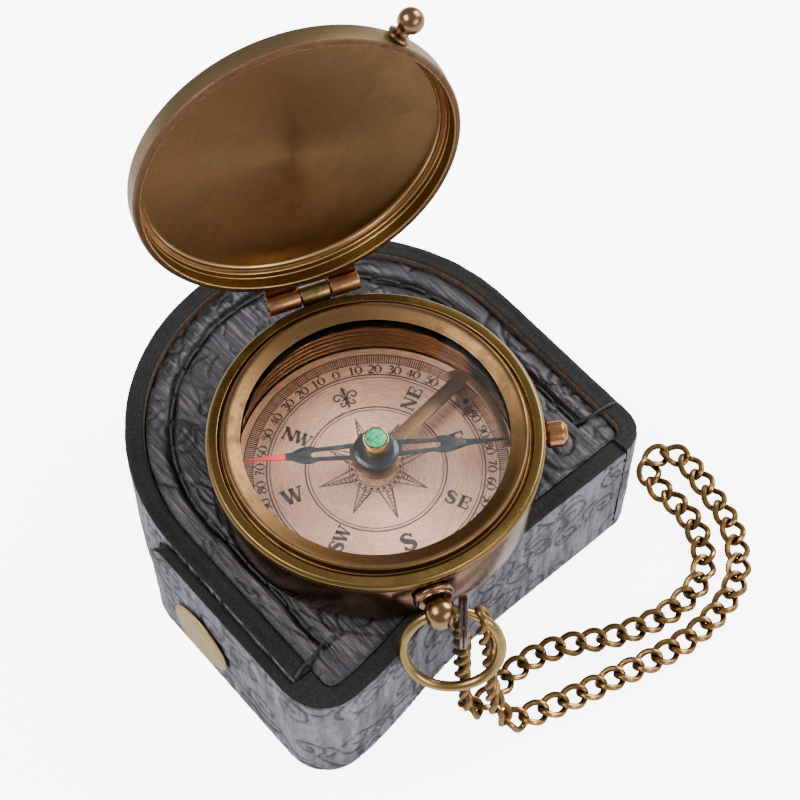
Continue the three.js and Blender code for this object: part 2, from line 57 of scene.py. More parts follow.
CASE_HEIGHT = 30.0          # table to the face that the compass stands on
CASE_RADIUS = 40.5
CASE_FRONT = 39.7
CASE_CORNER = 6.0
LEATHER = 3.6               # side leather
PANEL = 2.4                 # top panel
RIM_PROUD = 0.6
TAB_LEATHER = 2.2
TAB_LENGTH = 38.0
TAB_SHORT = 3.5             # how much sooner the trimmed tab ends
CORNER_FORWARD = 4.0
SNAP_PLACE = (-43.0, -10.6, 12.6)
SNAP_RADIUS = 7.5
STITCH_INSET = 8.5
STITCH_END = -29.0
GAP = 0.3

COMPASS_TURN = math.radians(-21.4)
BOWL_RADIUS = 29.3
BEZEL_RADIUS = 30.0
BEZEL_Z = 14.8
DIAL_TOP = 1.7
DIAL_RADIUS = 25.6
NORTH = math.radians(91.7)  # the dial's north, from the compass's own X
NEEDLE_Z = 8.3
NEEDLE_LENGTH = 23.6
NEEDLE_TURN = math.radians(-14.0)
HINGE_TURN = math.radians(1.5)
HINGE_Y = 31.95
HINGE_Z = 14.5
KNUCKLE_RADIUS = 1.8
LID_OPEN = math.radians(-95.0)
LID_RADIUS = 29.6
LID_DEPTH = 5.4
LID_BOTTOM = 0.6            # lip of the shut lid above the hinge line
KNOB_TURN = math.radians(41.0)
BALL_Y = -33.5
BALL_Z = 8.0
BALL_RADIUS = 2.9
BOW_RADIUS = 8.5
BOW_WIRE = 0.95
BOW_TURNS = (math.radians(63.5), math.radians(-13.0), math.radians(-12.5))
SPLIT_PLACE = (3.45, -35.45, 5.8)
SPLIT_TURN = math.radians(-19.7)
SPLIT_RADIUS = 4.3
LOCK_ANGLE = math.radians(-11.0)
LOCK_Z = 6.1
LEVER_ANGLE = math.radians(27.5)
LEVER_Z = 5.2

CHAIN_WIDTH = 5.1
CHAIN_WIRE = 1.2
CHAIN_LINK = 6.4
CHAIN_PITCH = 4.05
CHAIN_TWIST = math.radians(88)
CHAIN_REST = 1.55           # lowest that a link's middle lies above the table

CAMERA_PLACE = (-0.11652, -0.14938, 0.35392)
CAMERA_LOOK = (0.3363, 0.3855, -0.8592)
CAMERA_ROLL = math.radians(0.19)
CAMERA_LENS = 91.2
LIT_SPOT = Vector((0, 0, 0.03))
TABLE_GLOW = 6.5            # keeps the table white to the camera, without lighting the compass
TABLE_REACH = 3.0
CORNER_ROUND = 2.4          # radius of the corner behind the strip
CORNER_AHEAD = 2.5          # how far its centre lies in front of the strip's own


def compass_frame():
    low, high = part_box("compass_bowl")
    axis = Vector(((low.x + high.x) / 2, (low.y + high.y) / 2, low.z))
    return Matrix.Translation(axis) @ Matrix.Rotation(COMPASS_TURN, 4, "Z") @ Matrix.Scale(MM, 4)


def shift(x, y, z):
    return Matrix.Translation((x, y, z))


def turn(angle, axis):
    return Matrix.Rotation(angle, 4, axis)


CASE = Matrix.Scale(MM, 4)
COMPASS = compass_frame()
HINGE = COMPASS @ turn(HINGE_TURN, "Z") @ shift(0, HINGE_Y, HINGE_Z)
LID = HINGE @ turn(LID_OPEN, "X") @ shift(0, -HINGE_Y, LID_BOTTOM)
PENDANT = COMPASS @ shift(0, 0, BALL_Z) @ turn(math.pi / 2, "X")
BOW = (COMPASS @ shift(0, BALL_Y, BALL_Z)
       @ turn(BOW_TURNS[2], "Z") @ turn(BOW_TURNS[1], "Y") @ turn(BOW_TURNS[0], "X"))
SNAP = CASE @ shift(*SNAP_PLACE) @ turn(-math.pi / 2, "Y")


# ------------------------------------------------------------------ camera, light and table

def aim(thing, place, direction, roll=0.0):
    direction = Vector(direction).normalized()
    turned = direction.to_track_quat("-Z", "Y").to_matrix().to_4x4()
    thing.matrix_world = Matrix.Translation(Vector(place)) @ turned @ turn(roll, "Z")


def make_camera():
    data = bpy.data.cameras.new("camera")
    data.lens = CAMERA_LENS
    data.sensor_width = 36.0
    data.clip_start = 0.01
    camera = bpy.data.objects.new("camera", data)
    bpy.context.scene.collection.objects.link(camera)
    aim(camera, CAMERA_PLACE, CAMERA_LOOK, CAMERA_ROLL)
    bpy.context.scene.camera = camera


def softbox(name, place, size, watts):
    data = bpy.data.lights.new(name, "AREA")
    data.shape = "RECTANGLE"
    data.size, data.size_y = size
    data.energy = watts
    lamp = bpy.data.objects.new(name, data)
    bpy.context.scene.collection.objects.link(lamp)
    aim(lamp, place, LIT_SPOT - Vector(place))


def make_studio():
    world = bpy.data.worlds.new("studio")
    world.use_nodes = True
    world.node_tree.nodes["Background"].inputs["Color"].default_value = (0.96, 0.98, 1.0, 1)
    world.node_tree.nodes["Background"].inputs["Strength"].default_value = 0.5
    bpy.context.scene.world = world
    softbox("window", (1.05, 0.0, 0.75), (0.7, 0.7), 24)
    softbox("overhead", (-0.6, 0.35, 0.95), (0.7, 0.5), 14)
    softbox("front", (0.2, -1.0, 0.6), (0.7, 0.4), 8)


make_camera()


# ------------------------------------------------------------------ shader nodes

class Nodes:
    """Adds nodes to one tree. An input is given by its socket's name, as a value or as another socket."""

    def __init__(self, tree):
        self.tree = tree

    def add(self, kind, inputs=None, **settings):
        node = self.tree.nodes.new(kind)
        for key, value in settings.items():
            setattr(node, key, value)
        for key, value in (inputs or {}).items():
            if isinstance(value, bpy.types.NodeSocket):
                self.tree.links.new(value, node.inputs[key])
            else:
                node.inputs[key].default_value = value
        return node

    def math(self, operation, a, b=0.0, c=0.0, clamp=False):
        node = self.add("ShaderNodeMath", {0: a, 1: b, 2: c}, operation=operation, use_clamp=clamp)
        return node.outputs[0]

    def mix(self, share, a, b, blend_type="MIX"):
        node = self.add("ShaderNodeMix", data_type="RGBA", blend_type=blend_type)
        for index, value in ((0, share), (6, a), (7, b)):
            if isinstance(value, bpy.types.NodeSocket):
                self.tree.links.new(value, node.inputs[index])
            else:
                node.inputs[index].default_value = value
        return node.outputs[2]

    def noise(self, place, scale, detail=4.0, roughness=0.55):
        inputs = {"Vector": place, "Scale": scale, "Detail": detail, "Roughness": roughness}
        return self.add("ShaderNodeTexNoise", inputs).outputs["Fac"]

    def band(self, value, low, high):
        """0 below low, 1 above high, and smooth between them."""
        inputs = {"Value": value, "From Min": low, "From Max": high}
        return self.add("ShaderNodeMapRange", inputs, interpolation_type="SMOOTHSTEP").outputs["Result"]

    def stretched(self, place, x, y, z):
        return self.add("ShaderNodeVectorMath", {0: place, 1: (x, y, z)}, operation="MULTIPLY").outputs[0]


def rgb(r, g, b):
    return (r, g, b, 1.0)


SOCKETS = {
    "float": "NodeSocketFloat",
    "color": "NodeSocketColor",
    "vector": "NodeSocketVector",
}


def shader_group(name, inputs, outputs):
    tree = bpy.data.node_groups.new(name, "ShaderNodeTree")
    for label, kind, value in inputs:
        socket = tree.interface.new_socket(label, in_out="INPUT", socket_type=SOCKETS[kind])
        if value is not None:
            socket.default_value = value
    for label, kind in outputs:
        tree.interface.new_socket(label, in_out="OUTPUT", socket_type=SOCKETS[kind])
    nodes = Nodes(tree)
    start = nodes.add("NodeGroupInput").outputs
    end = nodes.add("NodeGroupOutput").inputs
    return tree, nodes, start, end


def tarnish_group():
    """Old metal: clean and stained blotches, with small dark pits."""
    tree, nodes, start, end = shader_group(
        "tarnish",
        [("Place", "vector", None), ("Clean", "color", rgb(0.6, 0.45, 0.2)),
         ("Stain", "color", rgb(0.2, 0.12, 0.05)),
         ("Blotch Size", "float", 300.0), ("Stain Amount", "float", 0.5), ("Pits", "float", 0.5),
         ("Gloss", "float", 0.25)],
        [("Color", "color"), ("Roughness", "float"), ("Height", "float")])
    broad = nodes.noise(start["Place"], start["Blotch Size"], 5.0, 0.6)
    fine_scale = nodes.math("MULTIPLY", start["Blotch Size"], 7.0)
    fine = nodes.noise(start["Place"], fine_scale, 3.0, 0.6)
    stain = nodes.math("MULTIPLY", nodes.band(broad, 0.42, 0.68), start["Stain Amount"])
    pit_scale = nodes.math("MULTIPLY", start["Blotch Size"], 16.0)
    speck = nodes.noise(start["Place"], pit_scale, 1.0, 0.5)
    pits = nodes.math("MULTIPLY", nodes.band(speck, 0.68, 0.76), start["Pits"])
    mottled = nodes.math("MULTIPLY", nodes.band(fine, 0.35, 0.75), 0.22)
    share = nodes.math("ADD", stain, mottled, clamp=True)
    colour = nodes.mix(share, start["Clean"], start["Stain"])
    dark = nodes.mix(nodes.math("MULTIPLY", pits, 0.7), colour, rgb(0.03, 0.02, 0.015))
    tree.links.new(dark, end["Color"])
    rough = nodes.math("MULTIPLY_ADD", share, 0.22, start["Gloss"])
    tree.links.new(nodes.math("MULTIPLY_ADD", pits, 0.2, rough), end["Roughness"])
    tree.links.new(nodes.math("MULTIPLY_ADD", pits, -1.0, nodes.math("MULTIPLY", fine, 0.3)), end["Height"])
    return tree


def hollow_group():
    """Grime in the hollows of a metal piece, laid by ambient occlusion: darker where its own shape shades it,
    so partly painted shade.
    """
    tree, nodes, start, end = shader_group(
        "hollow_grime_and_shade",
        [("Color", "color", rgb(1, 1, 1)), ("Grime And Shade", "color", rgb(0.05, 0.03, 0.02)),
         ("Reach", "float", 0.002),
         ("Amount", "float", 0.8)],
        [("Color", "color")])
    # Ambient occlusion marks where the piece shades itself; that darkening is painted shade.
    shade = nodes.add("ShaderNodeAmbientOcclusion", {"Distance": start["Reach"]}, samples=4, only_local=True)
    mask = nodes.math("SUBTRACT", 1.0, nodes.band(shade.outputs["AO"], 0.25, 0.85))
    mask = nodes.math("MULTIPLY", mask, start["Amount"], clamp=True)
    tree.links.new(nodes.mix(mask, start["Color"], start["Grime And Shade"]), end["Color"])
    return tree


def turning_group():
    """Fine lathe lines. UV's second number is the distance along the turned profile, in millimetres."""
    tree, nodes, start, end = shader_group(
        "turning_lines",
        [("UV", "vector", None), ("Fineness", "float", 9.0), ("Streaks", "float", 3.0)],
        [("Value", "float"), ("Height", "float")])
    parts = nodes.add("ShaderNodeSeparateXYZ", {0: start["UV"]}).outputs
    around = nodes.math("MULTIPLY", parts["X"], start["Streaks"])
    across = nodes.math("MULTIPLY", parts["Y"], start["Fineness"])
    place = nodes.add("ShaderNodeCombineXYZ", {0: around, 1: across, 2: 0.0}).outputs[0]
    lines = nodes.noise(place, 1.0, 6.0, 0.7)
    tree.links.new(nodes.band(lines, 0.3, 0.7), end["Value"])
    tree.links.new(lines, end["Height"])
    return tree


TARNISH = tarnish_group()
HOLLOW = hollow_group()
TURNING = turning_group()


class Finish:
    """One material: a Principled surface with its own nodes."""

    def __init__(self, name, **constants):
        self.material = bpy.data.materials.new(name)
        self.material.use_nodes = True
        tree = self.material.node_tree
        tree.nodes.clear()
        self.nodes = Nodes(tree)
        self.surface = self.nodes.add("ShaderNodeBsdfPrincipled")
        self.output = self.nodes.add("ShaderNodeOutputMaterial", {"Surface": self.surface.outputs[0]})
        self.place = self.nodes.add("ShaderNodeTexCoord").outputs["Object"]
        for key, value in constants.items():
            self.surface.inputs[key.replace("_", " ")].default_value = value

    def group(self, tree, **inputs):
        given = {key.replace("_", " "): value for key, value in inputs.items()}
        node = self.nodes.add("ShaderNodeGroup", node_tree=tree)
        for key, value in given.items():
            if isinstance(value, bpy.types.NodeSocket):
                self.nodes.tree.links.new(value, node.inputs[key])
            else:
                node.inputs[key].default_value = value
        return node.outputs

    def wire(self, **sockets):
        for key, value in sockets.items():
            self.nodes.tree.links.new(value, self.surface.inputs[key.replace("_", " ")])

    def bump(self, height, strength, distance):
        inputs = {"Height": height, "Strength": strength, "Distance": distance}
        self.wire(Normal=self.nodes.add("ShaderNodeBump", inputs).outputs[0])

    def uv(self):
        return self.nodes.add("ShaderNodeUVMap", uv_map="turned").outputs[0]

    def tangent(self):
        node = self.nodes.add("ShaderNodeTangent", direction_type="UV_MAP", uv_map="turned")
        self.wire(Tangent=node.outputs[0])


def cast_metal(name, clean, stain, gloss=0.24, blotch=260.0, amount=0.5, pits=0.4, grime_and_shade=0.8, reach=0.0016):
    """Antiqued metal with grime in its hollows, which ambient occlusion lays where shade falls, so partly
    painted shade.
    """
    finish = Finish(name, Metallic=1.0)
    worn = finish.group(TARNISH, Place=finish.place, Clean=clean, Stain=stain, Blotch_Size=blotch,
                        Stain_Amount=amount, Pits=pits, Gloss=gloss)
    # Hollow grime mixed with painted shade from ambient occlusion.
    grimed_and_shaded = finish.group(HOLLOW, Color=worn["Color"], Reach=reach, Amount=grime_and_shade)
    finish.wire(Base_Color=grimed_and_shaded["Color"], Roughness=worn["Roughness"])
    finish.bump(worn["Height"], 0.25, 0.00006)
    return finish.material


def turned_metal(name, clean, stain, gloss=0.24, fineness=9.0, amount=0.5, pits=0.3, lines=0.25, grain=0.5,
                 blotch=160.0, streaks=3.0):
    """Lathe-turned metal: stretched highlights, fine rings and old stains."""
    finish = Finish(name, Metallic=1.0, Anisotropic=grain)
    worn = finish.group(TARNISH, Place=finish.place, Clean=clean, Stain=stain, Blotch_Size=blotch,
                        Stain_Amount=amount, Pits=pits, Gloss=gloss)
    rings = finish.group(TURNING, UV=finish.uv(), Fineness=fineness, Streaks=streaks)
    shade = finish.nodes.math("MULTIPLY", rings["Value"], lines)
    colour = finish.nodes.mix(shade, worn["Color"], stain)
    rough = finish.nodes.math("MULTIPLY_ADD", rings["Value"], 0.08, worn["Roughness"])
    finish.wire(Base_Color=colour, Roughness=rough)
    finish.bump(rings["Height"], 0.15, 0.00004)
    finish.tangent()
    return finish.material


def dial_metal():
    """Rose-coloured plate with fine circular brushing."""
    finish = Finish("dial_plate_finish", Metallic=0.55, Anisotropic=0.55)
    rings = finish.group(TURNING, UV=finish.uv(), Fineness=11.0, Streaks=26.0)
    broad = finish.nodes.noise(finish.place, 90.0, 3.0)
    base = finish.nodes.mix(finish.nodes.band(broad, 0.35, 0.7), rgb(0.74, 0.42, 0.28), rgb(0.62, 0.33, 0.21))
    colour = finish.nodes.mix(finish.nodes.math("MULTIPLY", rings["Value"], 0.35), base,
                              rgb(0.88, 0.58, 0.42))
    finish.wire(Base_Color=colour, Roughness=finish.nodes.math("MULTIPLY_ADD", rings["Value"], 0.14, 0.2))
    finish.bump(rings["Height"], 0.25, 0.00003)
    finish.tangent()
    return finish.material


def paint(name, colour, worn, roughness=0.35, wear=0.3, metallic=0.0):
    """Painted or printed metal that wears thin in places."""
    finish = Finish(name, Metallic=metallic)
    patches = finish.nodes.band(finish.nodes.noise(finish.place, 420.0, 5.0, 0.65), 0.5, 0.72)
    share = finish.nodes.math("MULTIPLY", patches, wear)
    finish.wire(Base_Color=finish.nodes.mix(share, colour, worn),
                Roughness=finish.nodes.math("MULTIPLY_ADD", patches, 0.15, roughness))
    finish.bump(finish.nodes.noise(finish.place, 3000.0, 2.0), 0.15, 0.00002)
    return finish.material


def jewel_paint():
    finish = Finish("jewel_green", Coat_Weight=0.6, Coat_Roughness=0.08)
    blots = finish.nodes.noise(finish.place, 1500.0, 4.0, 0.7)
    colour = finish.nodes.mix(finish.nodes.band(blots, 0.38, 0.62), rgb(0.003, 0.10, 0.035),
                              rgb(0.02, 0.36, 0.16))
    finish.wire(Base_Color=colour, Roughness=finish.nodes.math("MULTIPLY_ADD", blots, 0.2, 0.2))
    return finish.material


def clear_glass():
    """Flat glass that lets light through to the dial."""
    finish = Finish("glass_clear", Base_Color=rgb(1, 1, 1), Roughness=0.0, IOR=1.46, Transmission_Weight=1.0)
    nodes = finish.nodes
    smear = nodes.noise(finish.place, 60.0, 3.0)
    finish.wire(Roughness=nodes.math("MULTIPLY", nodes.band(smear, 0.6, 0.85), 0.03))
    clear = nodes.add("ShaderNodeBsdfTransparent")
    path = nodes.add("ShaderNodeLightPath").outputs["Is Shadow Ray"]
    blend = nodes.add("ShaderNodeMixShader", {0: path, 1: finish.surface.outputs[0], 2: clear.outputs[0]})
    nodes.tree.links.new(blend.outputs[0], finish.output.inputs["Surface"])
    return finish.material


def leather(name, hollow, face, worn, gloss=0.5, streak=(900.0, 120.0, 900.0)):
    """Tooled leather. The mesh's relief attribute is 0 in the deepest tooling and 1 on the worn ridges."""
    finish = Finish(name, Specular_IOR_Level=0.5)
    nodes = finish.nodes
    relief = nodes.add("ShaderNodeAttribute", attribute_name="relief").outputs["Fac"]
    streaks = nodes.noise(nodes.stretched(finish.place, *streak), 1.0, 5.0, 0.65)
    fine = nodes.noise(finish.place, 2600.0, 3.0, 0.6)
    broad = nodes.noise(finish.place, 55.0, 3.0)
    lift = nodes.math("MULTIPLY_ADD", nodes.math("SUBTRACT", streaks, 0.5), 2.2, relief)
    lift = nodes.math("MULTIPLY_ADD", nodes.math("SUBTRACT", broad, 0.5), 0.5, lift)
    ramp = nodes.add("ShaderNodeValToRGB", {"Fac": lift})
    ramp.color_ramp.elements[0].color = hollow
    ramp.color_ramp.elements[0].position = 0.12
    ramp.color_ramp.elements[1].color = worn
    ramp.color_ramp.elements[1].position = 0.95
    middle = ramp.color_ramp.elements.new(0.5)
    middle.color = face
    finish.wire(Base_Color=ramp.outputs["Color"],
                Roughness=nodes.math("MULTIPLY_ADD", fine, 0.3, gloss - 0.15))
    height = nodes.math("MULTIPLY_ADD", streaks, 1.6, fine)
    finish.bump(height, 0.7, 0.00016)
    return finish.material


def fibre(name, dark, light, scale=1800.0, roughness=0.85):
    """Cut leather edge, suede or thread."""
    finish = Finish(name, Specular_IOR_Level=0.3)
    nodes = finish.nodes
    fuzz = nodes.noise(finish.place, scale, 4.0, 0.7)
    broad = nodes.noise(finish.place, scale / 14, 3.0)
    share = nodes.math("MULTIPLY_ADD", nodes.math("SUBTRACT", broad, 0.5), 0.8, nodes.band(fuzz, 0.3, 0.8))
    finish.wire(Base_Color=nodes.mix(share, dark, light))
    finish.surface.inputs["Roughness"].default_value = roughness
    finish.bump(fuzz, 0.7, 0.00018)
    return finish.material


# Name, clean colour, stained colour and settings
TURNED_METALS = {
    "flange": ("bezel_flange_finish", (0.20, 0.125, 0.038), (0.15, 0.085, 0.03),
               dict(gloss=0.2, amount=0.5, grain=0.4)),
    "bezel": ("bezel_slope_finish", (0.17, 0.095, 0.04), (0.065, 0.034, 0.015), dict(gloss=0.3, pits=0.9)),
    "bowl": ("bowl_finish", (0.24, 0.12, 0.065), (0.10, 0.048, 0.024),
             dict(gloss=0.1, fineness=2.0, amount=0.45, pits=0.2, lines=0.12, grain=0.2, blotch=90.0)),
    "well": ("well_finish", (0.22, 0.115, 0.05), (0.085, 0.045, 0.02),
             dict(gloss=0.26, fineness=4.0, amount=0.3, pits=0.1, lines=0.3, grain=0.6)),
    "lid_out": ("lid_outside_finish", (0.22, 0.15, 0.075), (0.12, 0.08, 0.045),
                dict(gloss=0.3, fineness=3.0, amount=0.7, pits=0.3, lines=0.2, grain=0.4, blotch=60.0)),
    "lid_in": ("lid_inside_finish", (0.20, 0.12, 0.055), (0.12, 0.07, 0.032),
               dict(gloss=0.3, fineness=7.0, amount=0.4, pits=0.12, lines=0.4, grain=0.75, streaks=14.0)),
    "lid_wall": ("lid_wall_finish", (0.36, 0.215, 0.065), (0.17, 0.09, 0.03),
                 dict(gloss=0.24, fineness=6.0, amount=0.35, pits=0.1, lines=0.3, grain=0.6)),
    "lid_rim": ("lid_rim_finish", (0.15, 0.08, 0.045), (0.07, 0.035, 0.02),
                dict(gloss=0.42, fineness=5.0, amount=0.5, pits=0.7)),
    # The bright lines on the lid's small chamfers are a painted highlight.
    "lid_highlight_line": ("lid_painted_highlight_line", (0.62, 0.42, 0.19), (0.36, 0.21, 0.08), dict(gloss=0.2, pits=0.1)),
    "lid_band": ("lid_band_finish", (0.30, 0.15, 0.06), (0.16, 0.075, 0.03), dict(gloss=0.26, fineness=6.0)),
}

# Name, clean colour, stained colour, gloss, blotch size, stain amount, pits and hollow grime with painted
# shade
CAST_METALS = {
    "chain": ("chain_finish", (0.27, 0.155, 0.055), (0.11, 0.055, 0.02), 0.28, 500.0, 0.5, 0.3, 0.9),
    "bow": ("bow_finish", (0.30, 0.20, 0.08), (0.18, 0.11, 0.04), 0.25, 300.0, 0.35, 0.3, 0.3),
    "hinge_brass": ("hinge_finish", (0.27, 0.18, 0.07), (0.07, 0.04, 0.02), 0.3, 420.0, 0.7, 0.8),
    "hinge_copper": ("hinge_copper_finish", (0.38, 0.18, 0.08), (0.11, 0.055, 0.03), 0.3, 420.0, 0.6, 0.8),
    "knob": ("knob_finish", (0.28, 0.16, 0.08), (0.13, 0.07, 0.035), 0.18, 300.0, 0.5, 0.2),
    "copper": ("plunger_finish", (0.44, 0.20, 0.085), (0.2, 0.09, 0.04), 0.22, 400.0, 0.3, 0.3),
    "cap": ("snap_cap_finish", (0.46, 0.32, 0.14), (0.32, 0.22, 0.10), 0.4, 200.0, 0.3, 0.3, 0.2),
    "bright": ("bright_brass_finish", (0.62, 0.42, 0.16), (0.36, 0.22, 0.08), 0.18, 500.0, 0.2, 0.1),
    "lever": ("lever_finish", (0.22, 0.13, 0.07), (0.13, 0.075, 0.04), 0.34, 200.0, 0.4, 0.2),
    "steel": ("steel_finish", (0.17, 0.145, 0.13), (0.05, 0.035, 0.03), 0.2, 500.0, 0.55, 0.2),
}


def make_finishes():
    turned = {key: turned_metal(name, rgb(*clean), rgb(*stain), **settings)
              for key, (name, clean, stain, settings) in TURNED_METALS.items()}
    cast = {key: cast_metal(name, rgb(*clean), rgb(*stain), *settings)
            for key, (name, clean, stain, *settings) in CAST_METALS.items()}
    return {
        **turned,
        **cast,
        "dial": dial_metal(),
        "ink": paint("printed_ink", rgb(0.018, 0.015, 0.014), rgb(0.10, 0.06, 0.045), 0.5, 0.3),
        "needle": paint("needle_black", rgb(0.007, 0.009, 0.011), rgb(0.02, 0.027, 0.027), 0.4, 0.6),
        # The hub's greenish worn patches also stand in for its green sheen: partly wear, partly painted
        # sheen.
        "hub": paint("needle_hub_worn_sheen", rgb(0.009, 0.012, 0.013), rgb(0.05, 0.075, 0.07), 0.3, 0.9, 0.3),
        "red": paint("needle_red", rgb(0.55, 0.02, 0.012), rgb(0.68, 0.06, 0.03), 0.35, 0.4),
        "jewel": jewel_paint(),
        "glass": clear_glass(),
        "leather_top": leather("leather_top", rgb(0.002, 0.0018, 0.0022), rgb(0.020, 0.0175, 0.024),
                               rgb(0.13, 0.105, 0.115), 0.46, streak=(1500.0, 90.0, 1500.0)),
        "leather_side": leather("leather_side", rgb(0.007, 0.0065, 0.008), rgb(0.085, 0.082, 0.105),
                                rgb(0.20, 0.195, 0.235), 0.5, streak=(500.0, 500.0, 90.0)),
        "edge": fibre("cut_edge", rgb(0.004, 0.004, 0.004), rgb(0.02, 0.02, 0.018)),
        "suede": fibre("leather_inside", rgb(0.07, 0.045, 0.03), rgb(0.16, 0.11, 0.075), 1400.0, 0.95),
        "thread": fibre("waxed_thread", rgb(0.008, 0.01, 0.01), rgb(0.05, 0.058, 0.055), 2500.0, 0.6),
    }


FINISH = make_finishes()


# ------------------------------------------------------------------ mesh code

class Shape:
    """Points, faces, and for each face its corners' UVs and the number of its finish."""

    def __init__(self):
        self.points, self.faces, self.uvs, self.finish = [], [], [], []

    def add(self, points, faces, finish=0):
        start = len(self.points)
        self.points.extend(points)
        for i, face in enumerate(faces):
            self.faces.append([start + k for k in face])
            self.uvs.append([(0.0, 0.0)] * len(face))
            self.finish.append(finish if isinstance(finish, int) else finish[i])
        return self

    def join(self, other, place=None):
        start = len(self.points)
        moved = other.points if place is None else [place @ Vector(p) for p in other.points]
        self.points.extend(moved)
        self.faces.extend([[start + k for k in face] for face in other.faces])
        self.uvs.extend(other.uvs)
        self.finish.extend(other.finish)
        return self

    def build(self, name, place, finishes, body, slot, replaces=(), sharp=35.0):
        mesh = bpy.data.meshes.new(name)
        mesh.from_pydata([place @ Vector(p) for p in self.points], [], self.faces)
        layer = mesh.uv_layers.new(name="turned")
        flat = [c for face in self.uvs for corner in face for c in corner]
        layer.data.foreach_set("uv", flat)
        for finish in finishes:
            mesh.materials.append(FINISH[finish])
        mesh.polygons.foreach_set("material_index", self.finish)
        return settle(name, mesh, body, replaces, sharp)


def settle(name, mesh, body, replaces=(), sharp=35.0):
    """Makes the object, turns its faces outwards, smooths it and hangs it on its body."""
    clean = bmesh.new()
    clean.from_mesh(mesh)
    bmesh.ops.remove_doubles(clean, verts=clean.verts, dist=1e-7)
    bmesh.ops.recalc_face_normals(clean, faces=clean.faces)
    clean.to_mesh(mesh)
    clean.free()
    mesh.shade_smooth()
    mesh.set_sharp_from_angle(angle=math.radians(sharp))
    made = bpy.data.objects.new(name, mesh)
    bpy.context.scene.collection.objects.link(made)
    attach(made, body)
    if replaces:
        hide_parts(*replaces)
    return made


def eased(profile, radius=0.12, closed=True, steps=3):
    """The profile with its corners rounded. A point is (radius, height) or (radius, height, finish)."""
    count = len(profile)
    result = []
    for i, point in enumerate(profile):
        here = Vector(point[:2])
        finish = point[2] if len(point) > 2 else 0
        on_axis = here.x < 1e-6
        ends = not closed and i in (0, count - 1)
        if on_axis or ends:
            result.append((here.x, here.y, finish))
            continue
        before = Vector(profile[i - 1][:2])
        after = Vector(profile[(i + 1) % count][:2])
        reach_in = min(radius, (before - here).length * 0.45)
        reach_out = min(radius, (after - here).length * 0.45)
        a = here + (before - here).normalized() * reach_in
        b = here + (after - here).normalized() * reach_out
        for k in range(steps + 1):
            t = k / steps
            p = a * (1 - t) ** 2 + here * 2 * t * (1 - t) + b * t ** 2
            result.append((p.x, p.y, finish))
    return result


def lathe(profile, steps=160, closed=True):
    """A profile turned about Z. A profile that isn't closed starts and ends on the axis."""
    shape = Shape()
    rings = []
    along = 0.0
    lengths = []
    for i, (r, z, *_) in enumerate(profile):
        if i:
            along += math.hypot(r - profile[i - 1][0], z - profile[i - 1][1])
        lengths.append(along)
        if r < 1e-6:
            rings.append([len(shape.points)] * steps)
            shape.points.append((0.0, 0.0, z))
        else:
            rings.append(list(range(len(shape.points), len(shape.points) + steps)))
            for k in range(steps):
                angle = 2 * math.pi * k / steps
                shape.points.append((r * math.cos(angle), r * math.sin(angle), z))
    pairs = [(i, i + 1) for i in range(len(profile) - 1)]
    if closed:
        pairs.append((len(profile) - 1, 0))
    for i, j in pairs:
        finish = profile[i][2] if len(profile[i]) > 2 else 0
        v0 = lengths[i]
        v1 = lengths[j] if j else along + math.hypot(profile[0][0] - profile[i][0],
                                                     profile[0][1] - profile[i][1])
        for k in range(steps):
            n = (k + 1) % steps
            corners = [(rings[i][k], k, v0), (rings[i][n], k + 1, v0), (rings[j][n], k + 1, v1),
                       (rings[j][k], k, v1)]
            kept = [c for m, c in enumerate(corners) if c[0] != corners[m - 1][0]]
            if len(kept) > 2:
                shape.faces.append([c[0] for c in kept])
                shape.uvs.append([(c[1] / steps, c[2]) for c in kept])
                shape.finish.append(finish)
    return shape


def path_frames(path, normal, closed=False):
    """Tangent and two cross directions at each point, with no twist between them."""
    path = [Vector(p) for p in path]
    count = len(path)
    frames = []
    side = Vector(normal)
    for i, point in enumerate(path):
        after = path[(i + 1) % count] if closed or i + 1 < count else point
        before = path[i - 1] if closed or i else point
        tangent = (after - before).normalized()
        side = (side - tangent * side.dot(tangent)).normalized()
        frames.append((point, tangent, side, tangent.cross(side)))
    return frames


def sweep(path, section, normal=(0, 0, 1), closed=False):
    """A section (list of (a, b) offsets) carried along a path. Its ends are capped unless the path closes."""
    shape = Shape()
    frames = path_frames(path, normal, closed)
    sides = len(section)
    for point, _, side, up in frames:
        shape.points.extend([point + side * a + up * b for a, b in section])
    spans = range(len(frames) if closed else len(frames) - 1)
    along = 0.0
    for i in spans:
        j = (i + 1) % len(frames)
        step = (frames[j][0] - frames[i][0]).length
        for k in range(sides):
            n = (k + 1) % sides
            shape.faces.append([i * sides + k, i * sides + n, j * sides + n, j * sides + k])
            u0, u1 = k / sides, (k + 1) / sides
            shape.uvs.append([(along, u0), (along, u1), (along + step, u1), (along + step, u0)])
            shape.finish.append(0)
        along += step
    if not closed:
        last = (len(frames) - 1) * sides
        for cap in (list(range(sides))[::-1], list(range(last, last + sides))):
            shape.faces.append(cap)
            shape.uvs.append([(0.0, 0.0)] * sides)
            shape.finish.append(0)
    return shape


def round_section(radius, sides):
    return [(radius * math.cos(2 * math.pi * k / sides), radius * math.sin(2 * math.pi * k / sides))
            for k in range(sides)]


